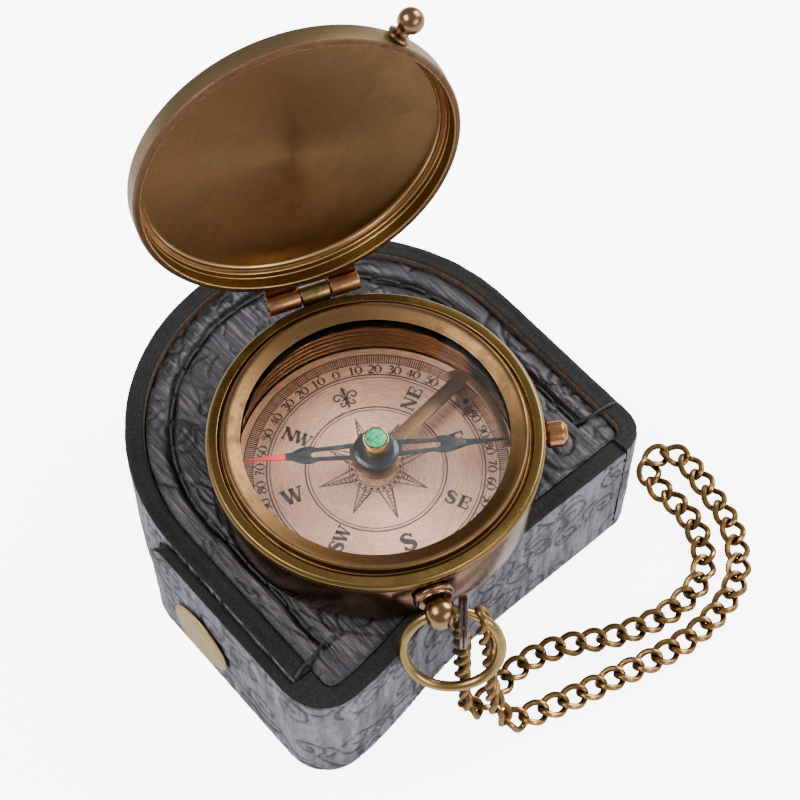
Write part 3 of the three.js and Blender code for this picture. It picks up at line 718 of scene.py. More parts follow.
def spline(points, steps=8, closed=False):
    """A smooth curve through the points."""
    pts = [Vector(p) for p in points]
    count = len(pts)
    out = []
    spans = count if closed else count - 1
    for i in range(spans):
        p1, p2 = pts[i], pts[(i + 1) % count]
        p0 = pts[i - 1] if closed or i else p1 * 2 - p2
        p3 = pts[(i + 2) % count] if closed or i + 2 < count else p2 * 2 - p1
        for k in range(steps):
            t = k / steps
            out.append(0.5 * ((2 * p1) + (p2 - p0) * t + (2 * p0 - 5 * p1 + 4 * p2 - p3) * t * t
                              + (3 * p1 - p0 - 3 * p2 + p3) * t ** 3))
    if not closed:
        out.append(pts[-1])
    return out


def even(path, count):
    """The path's points spaced evenly, with its length."""
    pts = np.array([list(p) for p in path], float)
    steps = np.linalg.norm(np.diff(pts, axis=0), axis=1)
    along = np.concatenate([[0], np.cumsum(steps)])
    wanted = np.linspace(0, along[-1], count)
    return [Vector([np.interp(w, along, pts[:, k]) for k in range(pts.shape[1])]) for w in wanted], along[-1]


def outline_plate(outline, z0, z1, holes=(), bevel=0.0, finish=0):
    """A flat plate of any outline, with holes, from z0 to z1."""
    curve = bpy.data.curves.new("outline", "CURVE")
    curve.dimensions = "2D"
    curve.fill_mode = "BOTH"
    curve.extrude = (z1 - z0) / 2 - bevel
    curve.bevel_depth = bevel
    curve.bevel_resolution = 1
    curve.offset = -bevel
    for loop in (outline, *holes):
        line = curve.splines.new("POLY")
        line.points.add(len(loop) - 1)
        for point, (x, y) in zip(line.points, loop):
            point.co = (x, y, 0, 1)
        line.use_cyclic_u = True
    carrier = bpy.data.objects.new("outline", curve)
    bpy.context.scene.collection.objects.link(carrier)
    solid = bpy.data.meshes.new_from_object(carrier.evaluated_get(bpy.context.evaluated_depsgraph_get()))
    shape = Shape()
    shape.add([(v.co.x, v.co.y, v.co.z + (z0 + z1) / 2) for v in solid.vertices],
              [list(p.vertices) for p in solid.polygons], finish=finish)
    bpy.data.objects.remove(carrier)
    bpy.data.meshes.remove(solid)
    return shape


def arc(radius, start, stop, steps, centre=(0, 0)):
    return [(centre[0] + radius * math.cos(start + (stop - start) * k / steps),
             centre[1] + radius * math.sin(start + (stop - start) * k / steps)) for k in range(steps + 1)]


# ------------------------------------------------------------------ chain

CHAIN_ROUTE = [
    (-12.9, -47.2, 30.6), (-12.6, -47.0, 26), (-12.4, -47.0, 20.2), (-12.8, -48.1, 12), (-13.1, -49.2, 6.4),
    (-12.3, -50.6, 2.9), (-10, -51, 1.8), (-6.5, -50.4, 1.5), (-3, -49.9, 1.5), (1.2, -49.9, 1.5),
    (5.9, -50.9, 1.5), (9.6, -52.4, 1.5), (12.9, -54.2, 1.5), (16.3, -56.2, 1.5), (20, -57.9, 1.5),
    (24.2, -59.3, 1.5), (28.5, -60.2, 1.5), (33.1, -60.4, 1.5), (37.4, -59.8, 1.5), (41, -58, 1.5),
    (43.9, -54.9, 1.5), (45.8, -51.3, 1.5), (46.8, -47.4, 1.5), (46.9, -43.4, 1.5), (46.8, -39.4, 1.5),
    (47.8, -36.1, 1.5), (50.8, -34.5, 1.5), (53.8, -35.7, 1.5), (55, -38.6, 1.5), (54.8, -42, 1.5),
    (54, -45.4, 1.5), (53.3, -48.9, 1.5), (52.4, -52.8, 1.5), (50.7, -56.6, 1.5), (48.3, -60.1, 1.5),
    (45.2, -63.2, 1.5), (41.1, -65.3, 1.5), (36.4, -66.4, 1.5), (31.7, -66.8, 1.5), (27.2, -66.6, 1.5),
    (22.8, -65.9, 1.5), (18.2, -64.8, 1.5), (14, -63.7, 1.5), (9.8, -62.6, 1.5), (5.4, -61.5, 1.5),
    (1.2, -60.3, 1.5), (-2.4, -59.1, 1.5), (-5.6, -58.1, 1.5), (-8.2, -57, 2.3), (-9.6, -55.4, 5),
    (-10, -53.8, 9), (-9.9, -52.5, 13.6), (-9.7, -51.4, 20.2), (-9.6, -50.6, 27), (-10.0, -49.9, 33),
    (-10.3, -49.4, 36.4),
]
CHAIN_NODES = ("chain_drop_front", "chain_inner_run", "chain_fold", "chain_outer_run", "chain_drop_back")


def curb_link(steps=40, sides=10):
    """One oval link along X, its two ends twisted apart so that the links lie over each other."""
    half_long = (CHAIN_LINK - CHAIN_WIRE) / 2
    half_wide = (CHAIN_WIDTH - CHAIN_WIRE) / 2
    loop = []
    for k in range(steps):
        angle = 2 * math.pi * k / steps
        x = half_long * math.cos(angle)
        y = half_wide * math.sin(angle)
        lean = CHAIN_TWIST * x / (2 * half_long)
        loop.append((x, y * math.cos(lean), y * math.sin(lean)))
    return sweep(loop, round_section(CHAIN_WIRE / 2, sides), closed=True)


def make_chain():
    route = spline(CHAIN_ROUTE, 10)
    length = even(route, 2)[1]
    count = round(length / CHAIN_PITCH)
    stations, _ = even(route, count + 1)
    middle = len(stations) // 2
    ahead = path_frames(stations[middle:], (0, 0, 1))
    behind = path_frames(stations[middle::-1], (0, 0, 1))[1:][::-1]
    link = curb_link()
    chain = Shape()
    rolls = np.random.default_rng(7).normal(0, 1, (len(stations), 3))
    for i, (point, tangent, side, _) in enumerate(behind + ahead):
        forward = tangent if i >= middle else -tangent
        across = side.cross(forward)
        basis = Matrix((forward, across, side)).transposed().to_4x4()
        roll = turn(math.radians(5) * rolls[i][0], "X") @ turn(math.radians(3) * rolls[i][1], "Z")
        lift = Vector((0, 0, max(0.0, CHAIN_REST - point.z)))
        chain.join(link, Matrix.Translation(point + lift) @ basis @ roll)
    made = chain.build("curb_chain", CASE, ["chain"], "compass", "antique_brass", CHAIN_NODES)
    return made


make_chain()
make_studio()


# ------------------------------------------------------------------ compass body

def make_bowl():
    profile = [(0, 0, 0), (BOWL_RADIUS - 1, 0, 0), (BOWL_RADIUS, 1, 0), (BOWL_RADIUS, 11.4, 0), (26, 11.4, 1)]
    for i in range(7):
        top = 10.6 - i * 1.35
        profile += [(26, top, 1), (25.85, top - 0.12, 1), (25.85, top - 0.7, 1), (26, top - 0.82, 1)]
    profile += [(26, 0.8, 1), (0, 0.8, 1)]
    bowl = lathe(eased(profile, 0.25, closed=False), 192, closed=False)
    return bowl.build("compass_bowl_turned", COMPASS, ["bowl", "well"], "compass", "copper", ["compass_bowl"])


def make_bezel():
    profile = [
        (27.7, 11.7, 0), (29.6, 11.7, 0), (29.6, 12.6, 0), (BEZEL_RADIUS, 13, 0), (BEZEL_RADIUS, 14.2, 0),
        (29.5, BEZEL_Z, 0), (27.9, BEZEL_Z, 0), (27.6, 14.1, 0), (27.1, 14.1, 1), (27.05, 15.55, 1),
        (26.6, 15.9, 1), (25.9, 15.7, 1), (24.4, 14.98, 1), (23.7, 14.7, 1), (25.6, 14.7, 1), (25.6, 12.2, 1),
        (27.7, 12.2, 0),
    ]
    bezel = lathe(eased(profile, 0.22), 192)
    return bezel.build("bezel_ring_turned", COMPASS, ["flange", "bezel"], "compass", "antique_brass",
                       ["bezel_ring"])


def make_dial_plate():
    profile = [(0, 1.1), (DIAL_RADIUS, 1.1), (DIAL_RADIUS, DIAL_TOP), (1.7, DIAL_TOP), (1.7, 1.2), (0, 1.2)]
    plate = lathe(eased(profile, 0.08, closed=False), 192, closed=False)
    return plate.build("dial_plate_brushed", COMPASS, ["dial"], "compass", "dial", ["dial_plate"])


# ------------------------------------------------------------------ dial print

INK = 0.03                  # thickness of the print


def ribbon(line, widths, z=DIAL_TOP + 0.005):
    """A flat stroke of ink along a line, as wide at each point as widths says."""
    pts = [Vector((p[0], p[1])) for p in line]
    if not hasattr(widths, "__len__"):
        widths = [widths] * len(pts)
    left, right = [], []
    for i, point in enumerate(pts):
        before, after = pts[max(i - 1, 0)], pts[min(i + 1, len(pts) - 1)]
        across = (after - before).normalized()
        across = Vector((-across.y, across.x)) * widths[i] / 2
        left.append(point + across)
        right.append(point - across)
    return prism(left + right[::-1], z, ladder=len(pts))


def prism(loop, z, ladder):
    """A thin plate whose outline is two matching sides, filled like a ladder."""
    count = len(loop)
    low = [(p.x, p.y, z) for p in loop]
    high = [(p.x, p.y, z + INK) for p in loop]
    faces = [[k, (k + 1) % count, count + (k + 1) % count, count + k] for k in range(count)]
    for k in range(ladder - 1):
        quad = [k, k + 1, count - 2 - k, count - 1 - k]
        faces.append(quad[::-1])
        faces.append([count + q for q in quad])
    return Shape().add(low + high, faces)


def ring_line(radius, width):
    z = DIAL_TOP + 0.005
    return lathe([(radius - width / 2, z), (radius + width / 2, z), (radius + width / 2, z + INK),
                  (radius - width / 2, z + INK)], 180)


def glyph(strokes, place, size, angle, weight=1.0):
    """Strokes drawn in a unit square, sized and turned onto the dial."""
    mark = Shape()
    to_dial = Matrix.Translation((place[0], place[1], 0)) @ turn(angle,
                                                                 "Z") @ Matrix.Diagonal((size, size, 1, 1))
    for line, widths in strokes:
        bold = size * weight
        thick = [w * bold for w in widths] if hasattr(widths, "__len__") else widths * bold
        points = [to_dial @ Vector((x, y, 0)) for x, y in line]
        mark.join(ribbon(points, thick))
    return mark


def smooth2(points, steps=6, closed=False):
    curve = spline([(x, y, 0) for x, y in points], steps, closed)
    return [(p.x, p.y) for p in (curve + [curve[0]] if closed else curve)]


def swell(count, thin, thick, peaks=1):
    """Widths that swell and thin again along a stroke."""
    last = max(count - 1, 1)
    return [thin + (thick - thin) * math.sin(math.pi * peaks * k / last) ** 2 for k in range(count)]


def bar(x0, x1, y, width=0.09):
    return [(x0, y), (x1, y)], width


def letters():
    """Roman capitals with serifs, centred on the origin and one unit tall."""
    s_line = smooth2([(0.25, 0.27), (0.12, 0.43), (-0.06, 0.46), (-0.24, 0.34), (-0.2, 0.14), (0.0, 0.02),
                      (0.22, -0.1), (0.27, -0.3), (0.08, -0.46), (-0.12, -0.44), (-0.28, -0.24)])
    return {
        "N": [([(-0.34, -0.46), (-0.34, 0.46)], 0.09), ([(-0.36, 0.46), (0.34, -0.46)], 0.22),
              ([(0.34, -0.46), (0.34, 0.46)], 0.09), bar(-0.5, -0.22, 0.46), bar(-0.48, -0.2, -0.46),
              bar(0.2, 0.48, 0.46)],
        "S": [(s_line, swell(len(s_line), 0.08, 0.25)), ([(0.27, 0.46), (0.27, 0.2)], 0.07),
              ([(-0.29, -0.46), (-0.29, -0.18)], 0.07)],
        "E": [([(-0.2, -0.46), (-0.2, 0.46)], 0.22), bar(-0.4, 0.34, 0.45), bar(-0.4, 0.36, -0.45),
              bar(-0.1, 0.18, 0.02, 0.08), ([(0.34, 0.49), (0.34, 0.2)], 0.08),
              ([(0.36, -0.49), (0.36, -0.16)], 0.08), ([(0.18, 0.16), (0.18, -0.12)], 0.07)],
        "W": [([(-0.5, 0.46), (-0.2, -0.46)], 0.2), ([(-0.2, -0.46), (0.04, 0.46)], 0.08),
              ([(0.0, 0.46), (0.26, -0.46)], 0.2), ([(0.26, -0.46), (0.52, 0.46)], 0.08),
              bar(-0.66, -0.32, 0.46), bar(-0.14, 0.2, 0.46), bar(0.36, 0.66, 0.46)],
    }


def digits():
    """Old-style figures with thick and thin strokes, one unit tall."""
    def stroke(points, thin=0.07, thick=0.17, closed=False):
        line = smooth2(points, 5, closed)
        return line, swell(len(line), thin, thick, 2 if closed else 1)
    small = stroke([(0, 0.44), (-0.2, 0.26), (0, 0.05), (0.2, 0.26)], closed=True)
    large = stroke([(0, 0.06), (-0.26, -0.2), (0, -0.45), (0.26, -0.2)], closed=True)
    return {
        "0": [stroke([(0, 0.45), (-0.27, 0.2), (-0.27, -0.2), (0, -0.45), (0.27, -0.2), (0.27, 0.2)],
                     closed=True)],
        "1": [([(0, -0.44), (0, 0.45)], 0.15), ([(-0.18, 0.28), (0, 0.43)], 0.07),
              bar(-0.2, 0.2, -0.44, 0.07)],
        "2": [stroke([(-0.24, 0.26), (-0.05, 0.44), (0.22, 0.28), (0.12, 0.0), (-0.26, -0.42)]),
              bar(-0.28, 0.28, -0.42, 0.13)],
        "3": [stroke([(-0.24, 0.34), (0.02, 0.44), (0.2, 0.24), (-0.04, 0.04)]),
              stroke([(-0.04, 0.04), (0.26, -0.14), (0.06, -0.45), (-0.26, -0.32)])],
        "4": [([(0.1, -0.44), (0.1, 0.45)], 0.15), ([(0.08, 0.43), (-0.3, -0.16)], 0.06),
              bar(-0.32, 0.3, -0.16, 0.08)],
        "5": [bar(-0.18, 0.24, 0.42, 0.1), ([(-0.18, 0.42), (-0.22, 0.06)], 0.06),
              stroke([(-0.22, 0.06), (0.08, 0.14), (0.26, -0.14), (0.04, -0.45), (-0.26, -0.34)])],
        "6": [stroke([(0.22, 0.42), (-0.12, 0.28), (-0.28, -0.12), (-0.1, -0.42)]),
              stroke([(0, 0.04), (-0.25, -0.2), (0, -0.45), (0.25, -0.2)], closed=True)],
        "7": [bar(-0.26, 0.26, 0.4, 0.12), stroke([(0.25, 0.4), (0.02, 0.0), (-0.08, -0.44)], 0.08, 0.16)],
        "8": [small, large],
        "9": [stroke([(-0.22, -0.42), (0.12, -0.28), (0.28, 0.12), (0.1, 0.42)]),
              stroke([(0, 0.45), (-0.25, 0.2), (0, -0.04), (0.25, 0.2)], closed=True)],
    }


def on_dial(bearing, radius):
    """Place and turn of a mark at a bearing in degrees clockwise from north, its top outwards."""
    angle = NORTH - math.radians(bearing)
    return (radius * math.cos(angle), radius * math.sin(angle)), angle - math.pi / 2


def compass_rays():
    """Eight split rays of the rose, each half outline and half fill."""
    marks = Shape()
    for k in range(8):
        tip = 11.0 if k % 2 == 0 else 10.2
        angle = NORTH - math.radians(45 * k)
        along = Vector((math.cos(angle), math.sin(angle)))
        across = Vector((-along.y, along.x))
        root = 4.9
        half = 1.15
        for side, width in ((1, 0.34), (-1, 0.26)):
            marks.join(ribbon([along * root + across * half * side, along * tip], [width, 0.14]))
        marks.join(ribbon([along * root, along * (tip - 0.6)], [0.24, 0.12]))
        steps = 7
        for i in range(steps):
            share = (i + 0.6) / (steps + 1)
            here = along * (root + (tip - root) * share)
            edge = here + across * half * (1 - share)
            marks.join(ribbon([here, edge], 0.2))
    return marks


def north_mark():
    """A spear between dotted scrolls."""
    marks = Shape()
    (x, y), angle = on_dial(0, 15.9)
    place = Matrix.Translation((x, y, 0)) @ turn(angle, "Z")

    def draw(points, widths):
        marks.join(ribbon([place @ Vector((px, py, 0)) for px, py in points], widths))

    spear = [(0, -2.2), (0, 0.2), (0, 1.5), (0, 2.4)]
    draw(spear, [0.5, 0.25, 0.6, 0.05])
    draw([(-0.9, -0.35), (0.9, -0.35)], 0.28)
    for side in (-1, 1):
        upper = smooth2([(0.15 * side, -0.3), (0.7 * side, 0.7), (1.7 * side, 1.0), (2.2 * side, 0.2),
                         (1.5 * side, -0.3), (1.15 * side, 0.25)])
        draw(upper, [0.34] * len(upper))
        lower = smooth2([(0.1 * side, -0.5), (0.5 * side, -1.5), (1.25 * side, -1.7), (1.3 * side, -1.0),
                         (0.85 * side, -1.0)])
        draw(lower, [0.3] * len(lower))
        petal = smooth2([(0, 0.4), (0.55 * side, 1.3), (0, 2.3)])
        draw(petal, [0.14] * len(petal))
    return marks


def make_dial_print():
    print_ = Shape()
    for radius, width in ((12.25, 0.16), (12.85, 0.28), (19.25, 0.16), (19.85, 0.28), (22.35, 0.14),
                          (24.15, 0.2),
                          (4.9, 0.16), (3.9, 0.14)):
        print_.join(ring_line(radius, width))
    for degree in range(360):
        angle = math.radians(degree)
        inner = 22.4 if degree % 10 else 22.0
        along = Vector((math.cos(angle), math.sin(angle)))
        print_.join(ribbon([along * inner, along * 24.1], 0.2 if degree % 5 else 0.26))
    for k in range(24):
        middle = 2 * math.pi * k / 24
        print_.join(ribbon(arc(4.4, middle - 0.07, middle + 0.07, 3), 0.5))
    shapes = digits()
    for degree in range(0, 360, 10):
        from_pole = degree % 180
        text = str(from_pole if from_pole <= 90 else 180 - from_pole)
        for i, mark in enumerate(text):
            spread = (i - (len(text) - 1) / 2) * 3.5
            place, angle = on_dial(degree + spread, 21.05)
            print_.join(glyph(shapes[mark], place, 1.85, angle, 1.3))
    shapes = letters()
    for bearing, text, size, reading in ((45, "NE", 2.6, 1), (90, "E", 3.4, 0), (135, "SE", 2.6, 1),
                                         (180, "S", 3.4, 0),
                                         (225, "SW", 2.6, -1), (270, "W", 3.2, 0), (315, "NW", 2.6, -1)):
        for i, mark in enumerate(text):
            radius = 16.05 + reading * (i - (len(text) - 1) / 2) * size
            place, _ = on_dial(bearing, radius)
            outwards = NORTH - math.radians(bearing)
            angle = {1: outwards, -1: outwards + math.pi, 0: NORTH - math.pi / 2}[reading]
            print_.join(glyph(shapes[mark], place, size, angle, 1.25))
    print_.join(compass_rays())
    print_.join(north_mark())
    return print_.build("dial_print", COMPASS, ["ink"], "compass", "dial", sharp=20)


# ------------------------------------------------------------------ needle and lock

def make_needle():
    side = [(2.9, 1.7), (10.4, 1.3), (11.5, 1.7), (12.6, 1.75), (13.8, 1.4), (15, 0.8), (16.2, 0.62)]
    slot = [(4.7, -0.75), (11.2, -0.55), (11.6, -0.3), (11.6, 0.3), (11.2, 0.55), (4.7, 0.75)]
    tip_root = side[-1]
    tip = [(tip_root[0], -tip_root[1]), (NEEDLE_LENGTH, -0.15), (NEEDLE_LENGTH, 0.15), tip_root]
    arm = [(x, -y) for x, y in side] + side[::-1]
    low, high = NEEDLE_Z, NEEDLE_Z + 0.35
    needle = Shape()
    for turned, finish in ((0.0, 0), (math.pi, 2)):
        place = turn(turned, "Z")
        needle.join(outline_plate(arm, low, high, [slot], 0.06), place)
        needle.join(outline_plate(tip, low, high, bevel=0.05, finish=finish), place)
    hub = [(1.3, low - 0.5), (3.3, low - 0.5), (4.15, low), (4.15, high), (3.3, high + 0.35),
           (1.3, high + 0.45)]
    needle.join(lathe(eased([(r, z, 1) for r, z in hub], 0.2), 72))
    return needle.build("needle_blade", COMPASS @ turn(NEEDLE_TURN, "Z"), ["needle", "hub", "red"], "needle",
                        "needle_black", ["needle"])


def make_cap():
    profile = [(0, 11.7), (0.9, 11.7), (0.9, 9.35), (2.3, 9.35), (2.3, 12.7), (2.08, 12.7), (2.08, 12.25),
               (0, 12.25)]
    cap = lathe(eased(profile, 0.1, closed=False), 72, closed=False)
    cap.build("needle_cap_turned", COMPASS, ["bright"], "needle", "bright_brass", ["needle_cap"])
    disc = lathe(eased([(0, 12.55), (1.9, 12.55), (1.9, 12.8), (0.0, 12.92)], 0.1, closed=False), 64,
                 closed=False)
    disc.build("jewel_disc_polished", COMPASS, ["jewel"], "needle", "jewel", ["jewel_disc"])


def make_lever():
    thick = 0.5
    eye = arc(4.4, LEVER_ANGLE + 0.3, LEVER_ANGLE - 0.3 + 2 * math.pi, 60)
    reach = 24.2
    half = 1.35
    along = Vector((math.cos(LEVER_ANGLE), math.sin(LEVER_ANGLE)))
    across = Vector((along.y, -along.x))
    tip = [along * reach + across * half * s for s in (1, -1)]
    outline = eye + [tuple(tip[0]), tuple(tip[1])]
    hole = arc(1.9, 0, 2 * math.pi, 32)[:-1]
    lever = outline_plate(outline, LEVER_Z, LEVER_Z + thick, [hole], 0.08)
    start, stop = LOCK_ANGLE - 0.05, LEVER_ANGLE + 0.05
    rim = arc(24.4, start, stop, 16) + arc(22.7, stop, start, 16)
    lever.join(outline_plate(rim, LEVER_Z + 0.01, LEVER_Z + thick - 0.01, bevel=0.08))
    return lever.build("needle_lever_bent", COMPASS, ["lever"], "lever", "antique_brass", ["needle_lever"])


def make_plunger():
    profile = [(0, 24.7), (0.4, 25), (1.1, 26.6), (1.1, 31), (2.15, 31), (2.5, 31.35), (2.5, 33.9),
               (1.75, 34.8), (0, 34.95)]
    plunger = lathe(eased(profile, 0.12, closed=False), 64, closed=False)
    place = COMPASS @ shift(0, 0, LOCK_Z) @ turn(LOCK_ANGLE, "Z") @ turn(math.pi / 2, "Y")
    return plunger.build("lock_plunger_turned", place, ["copper"], "plunger", "copper", ["lock_plunger"])


# ------------------------------------------------------------------ lid and hinge

def make_lid():
    profile = [
        (0, LID_DEPTH + 0.1, 0), (26.6, LID_DEPTH, 0), (28.6, 4.8, 0), (LID_RADIUS, 3.8, 0),
        (LID_RADIUS, 0.5, 1), (29.3, 0, 1), (28.4, 0, 4), (28.25, 0.12, 2), (28.2, 2.2, 4), (28.08, 2.3, 2),
        (28.05, 3.2, 4), (27.9, 3.3, 5), (27.3, 3.45, 5), (27.2, 3.95, 4), (26.95, 4.2, 3), (26.8, 4.3, 3),
        (0, 4.5, 3),
    ]
    lid = lathe(eased(profile, 0.1, closed=False), 192, closed=False)
    # Finish 4 on the chamfers is the painted highlight line.
    finishes = ["lid_out", "lid_rim", "lid_wall", "lid_in", "lid_highlight_line", "lid_band"]
    return lid.build("lid_shell_spun", LID, finishes, "lid", "antique_brass", ["lid_shell"])


def barrel(x0, x1, radius, bore):
    profile = [(bore, x0), (radius, x0), (radius, x1), (bore, x1)]
    return lathe(eased(profile, 0.15), 48), turn(math.pi / 2, "Y")


def make_hinge():
    for name, x0, x1, finish in (("left", -9.0, -2.95, "hinge_copper"), ("right", 3.0, 8.55, "hinge_copper")):
        knuckle = Shape()
        tube, place = barrel(x0, x1, KNUCKLE_RADIUS, 1.2)
        knuckle.join(tube, place)
        inner = math.sqrt((LID_RADIUS + GAP) ** 2 - max(abs(x0), abs(x1)) ** 2) - HINGE_Y
        leaf = [(inner + 0.1, 0.7), (-1.2, 0.9), (-1.2, 4.1), (inner + 0.1, 4.3)]
        knuckle.join(sweep([(x0 + 0.1, 0, 0), (x1 - 0.1, 0, 0)], leaf, normal=(0, 1, 0)))
        knuckle.build("lid_knuckle_" + name + "_turned", HINGE @ turn(LID_OPEN, "X"), [finish], "lid",
                      "antique_brass", ["lid_knuckle_" + name])
    knuckle = Shape()
    tube, place = barrel(-2.65, 2.7, KNUCKLE_RADIUS, 1.2)
    knuckle.join(tube, place)
    leaf = [(-1.7, -6.9), (-1.2, -6.9), (-1.0, -0.9), (-1.7, -0.9)]
    knuckle.join(sweep([(-2.55, 0, 0), (2.6, 0, 0)], leaf, normal=(0, 1, 0)))
    knuckle.build("body_knuckle_turned", HINGE, ["hinge_brass"], "compass", "antique_brass", ["body_knuckle"])
    pin = lathe(eased([(0, -9.2), (0.9, -9.2), (0.9, 8.75), (0, 8.75)], 0.2, closed=False), 24, closed=False)
    pin.build("hinge_pin_drawn", HINGE @ turn(math.pi / 2, "Y"), ["steel"], "compass", "steel", ["hinge_pin"])


def make_lid_knob():
    angles = [math.pi * (0.19 + 0.81 * k / 24) for k in range(25)]
    ball = [(2.3 * math.sin(a), 3.7 - 2.3 * math.cos(a)) for a in angles]
    profile = [(0, 0.3), (2.1, 0.3), (2.1, 0.7), (1.3, 1.1)] + ball[:-1] + [(0, 6.0)]
    knob = lathe(profile, 64, closed=False)
    place = LID @ turn(KNOB_TURN, "Z") @ shift(0, -LID_RADIUS, LID_DEPTH / 2) @ turn(math.pi / 2, "X")
    return knob.build("lid_knob_turned", place, ["knob"], "lid", "antique_brass", ["lid_knob"])


# ------------------------------------------------------------------ pendant, bow and split ring

def make_pendant():
    angles = [math.pi * (0.19 + 0.81 * k / 28) for k in range(29)]
    ball = [(BALL_RADIUS * math.sin(a), -BALL_Y - BALL_RADIUS * math.cos(a)) for a in angles]
    profile = [(0, 26.6), (1.5, 26.6), (1.5, 30.4)] + ball[:-1] + [(0, -BALL_Y + BALL_RADIUS)]
    pendant = lathe(profile, 72, closed=False)
    made = pendant.build("pendant_ball_turned", PENDANT, ["knob"], "compass", "copper", ["pendant_ball"])
    drill = lathe([(0, -8), (1.5, -8), (1.5, 8), (0, 8)], 40, closed=False)
    tool = drill.build("drill", BOW @ turn(math.pi / 2, "Y"), ["knob"], "compass", "copper")
    drilled = made.modifiers.new("hole", "BOOLEAN")
    drilled.operation = "DIFFERENCE"
    drilled.object = tool
    applied = bpy.data.meshes.new_from_object(made.evaluated_get(bpy.context.evaluated_depsgraph_get()))
    made.modifiers.clear()
    made.data = applied
    bpy.data.objects.remove(tool)
    profile = [(1.8, 29.6), (3.65, 29.6), (3.65, 30.25), (3.3, 30.55), (3.05, 30.65), (3.05, 31), (1.8, 31)]
    collar = lathe(eased(profile, 0.12), 72)
    collar.build("pendant_collar_turned", PENDANT, ["knob"], "compass", "antique_brass", ["pendant_collar"])


def make_bow():
    loop = [(BOW_RADIUS * math.cos(a), 0.25 - BOW_RADIUS + BOW_RADIUS * math.sin(a), 0)
            for a in [2 * math.pi * k / 144 for k in range(144)]]
    ring = sweep(loop, round_section(BOW_WIRE, 16), closed=True)
    return ring.build("bow_ring_drawn", BOW, ["bow"], "bow", "antique_brass", ["bow_ring"])


def make_split_ring():
    """Two coils of flat wire, side by side."""
    turns = 1.85
    steps = 150
    coil = []
    for k in range(steps + 1):
        angle = 2 * math.pi * turns * k / steps
        slide = -0.39 + 0.78 * min(max((k / steps * turns - 0.85) / 0.15, 0.0), 1.0)
        coil.append((SPLIT_RADIUS * math.cos(angle), SPLIT_RADIUS * math.sin(angle), slide))
    eight = ((1, 0.55), (0.6, 1), (-0.6, 1), (-1, 0.55), (-1, -0.55), (-0.6, -1), (0.6, -1), (1, -0.55))
    section = [(0.4 * a, 0.36 * b) for a, b in eight]
    ring = Shape()
    frames = [(Vector(p), Vector((p[0], p[1], 0)).normalized()) for p in coil]
    sides = len(section)
    for point, out in frames:
        ring.points.extend([point + out * a + Vector((0, 0, b)) for a, b in section])
    for i in range(steps):
        for k in range(sides):
            n = (k + 1) % sides
            ring.faces.append([i * sides + k, i * sides + n, (i + 1) * sides + n, (i + 1) * sides + k])
    ring.faces.append(list(range(sides))[::-1])
    ring.faces.append(list(range(steps * sides, (steps + 1) * sides)))
    ring.uvs = [[(0.0, 0.0)] * len(f) for f in ring.faces]
    ring.finish = [0] * len(ring.faces)
    place = COMPASS @ shift(*SPLIT_PLACE) @ turn(SPLIT_TURN, "Z") @ turn(math.pi / 2, "Y")
    return ring.build("split_ring_coiled", place, ["steel"], "split", "steel", ["split_ring"])


# ------------------------------------------------------------------ leather case

def hashed(x, y, seed):
    """The same number from 0 to 1 for the same whole numbers, each run."""
    mixed = (x * 374761393 + y * 668265263 + seed * 982451653) & 0xFFFFFFFF
    mixed = ((mixed ^ (mixed >> 13)) * 1274126177) & 0xFFFFFFFF
    return ((mixed ^ (mixed >> 16)) & 0xFFFFFFFF) / 0xFFFFFFFF


def smooth_noise(x, y, seed=0):
    """Smooth noise from -1 to 1."""
    xi, yi = np.floor(x).astype(np.int64), np.floor(y).astype(np.int64)
    fx, fy = x - xi, y - yi
    fx, fy = fx * fx * (3 - 2 * fx), fy * fy * (3 - 2 * fy)
    a, b = hashed(xi, yi, seed), hashed(xi + 1, yi, seed)
    c, d = hashed(xi, yi + 1, seed), hashed(xi + 1, yi + 1, seed)
    return ((a * (1 - fx) + b * fx) * (1 - fy) + (c * (1 - fx) + d * fx) * fy) * 2 - 1


def layered(x, y, seed=0, layers=4):
    total = np.zeros_like(x)
    for k in range(layers):
        total += smooth_noise(x * 2 ** k, y * 2 ** k, seed + k) / 2 ** k
    return total / 2


def near_lines(x, y, lines, width):
    """1 on the lines, falling to 0 about width away from them."""
    best = np.full(x.shape, 1e9)
    for line in lines:
        pts = np.array(line, float)
        for (ax, ay), (bx, by) in zip(pts[:-1], pts[1:]):
            low_x, high_x = min(ax, bx) - 3 * width, max(ax, bx) + 3 * width
            low_y, high_y = min(ay, by) - 3 * width, max(ay, by) + 3 * width
            close = (x > low_x) & (x < high_x) & (y > low_y) & (y < high_y)
            if not close.any():
                continue
            dx, dy = bx - ax, by - ay
            t = np.clip(((x[close] - ax) * dx + (y[close] - ay) * dy) / (dx * dx + dy * dy + 1e-9), 0, 1)
            best[close] = np.minimum(best[close], np.hypot(x[close] - ax - t * dx, y[close] - ay - t * dy))
    return np.exp(-(best / width) ** 2)


def scroll(cx, cy, size, angle, hand=1):
    """A tooled scroll: a spiral with a leaf on its back."""
    spiral = []
    for k in range(30):
        t = k / 29
        radius = size * (1 - 0.8 * t)
        a = angle + hand * t * 3.4 * math.pi / 2 * 1.6
        spiral.append((cx + radius * math.cos(a), cy + radius * math.sin(a)))
    leaf = []
    for k in range(12):
        t = k / 11
        a = angle + hand * (0.2 + 1.2 * t)
        radius = size * (1.25 + 0.35 * math.sin(math.pi * t))
        leaf.append((cx + radius * math.cos(a), cy + radius * math.sin(a)))
    return [spiral, leaf]


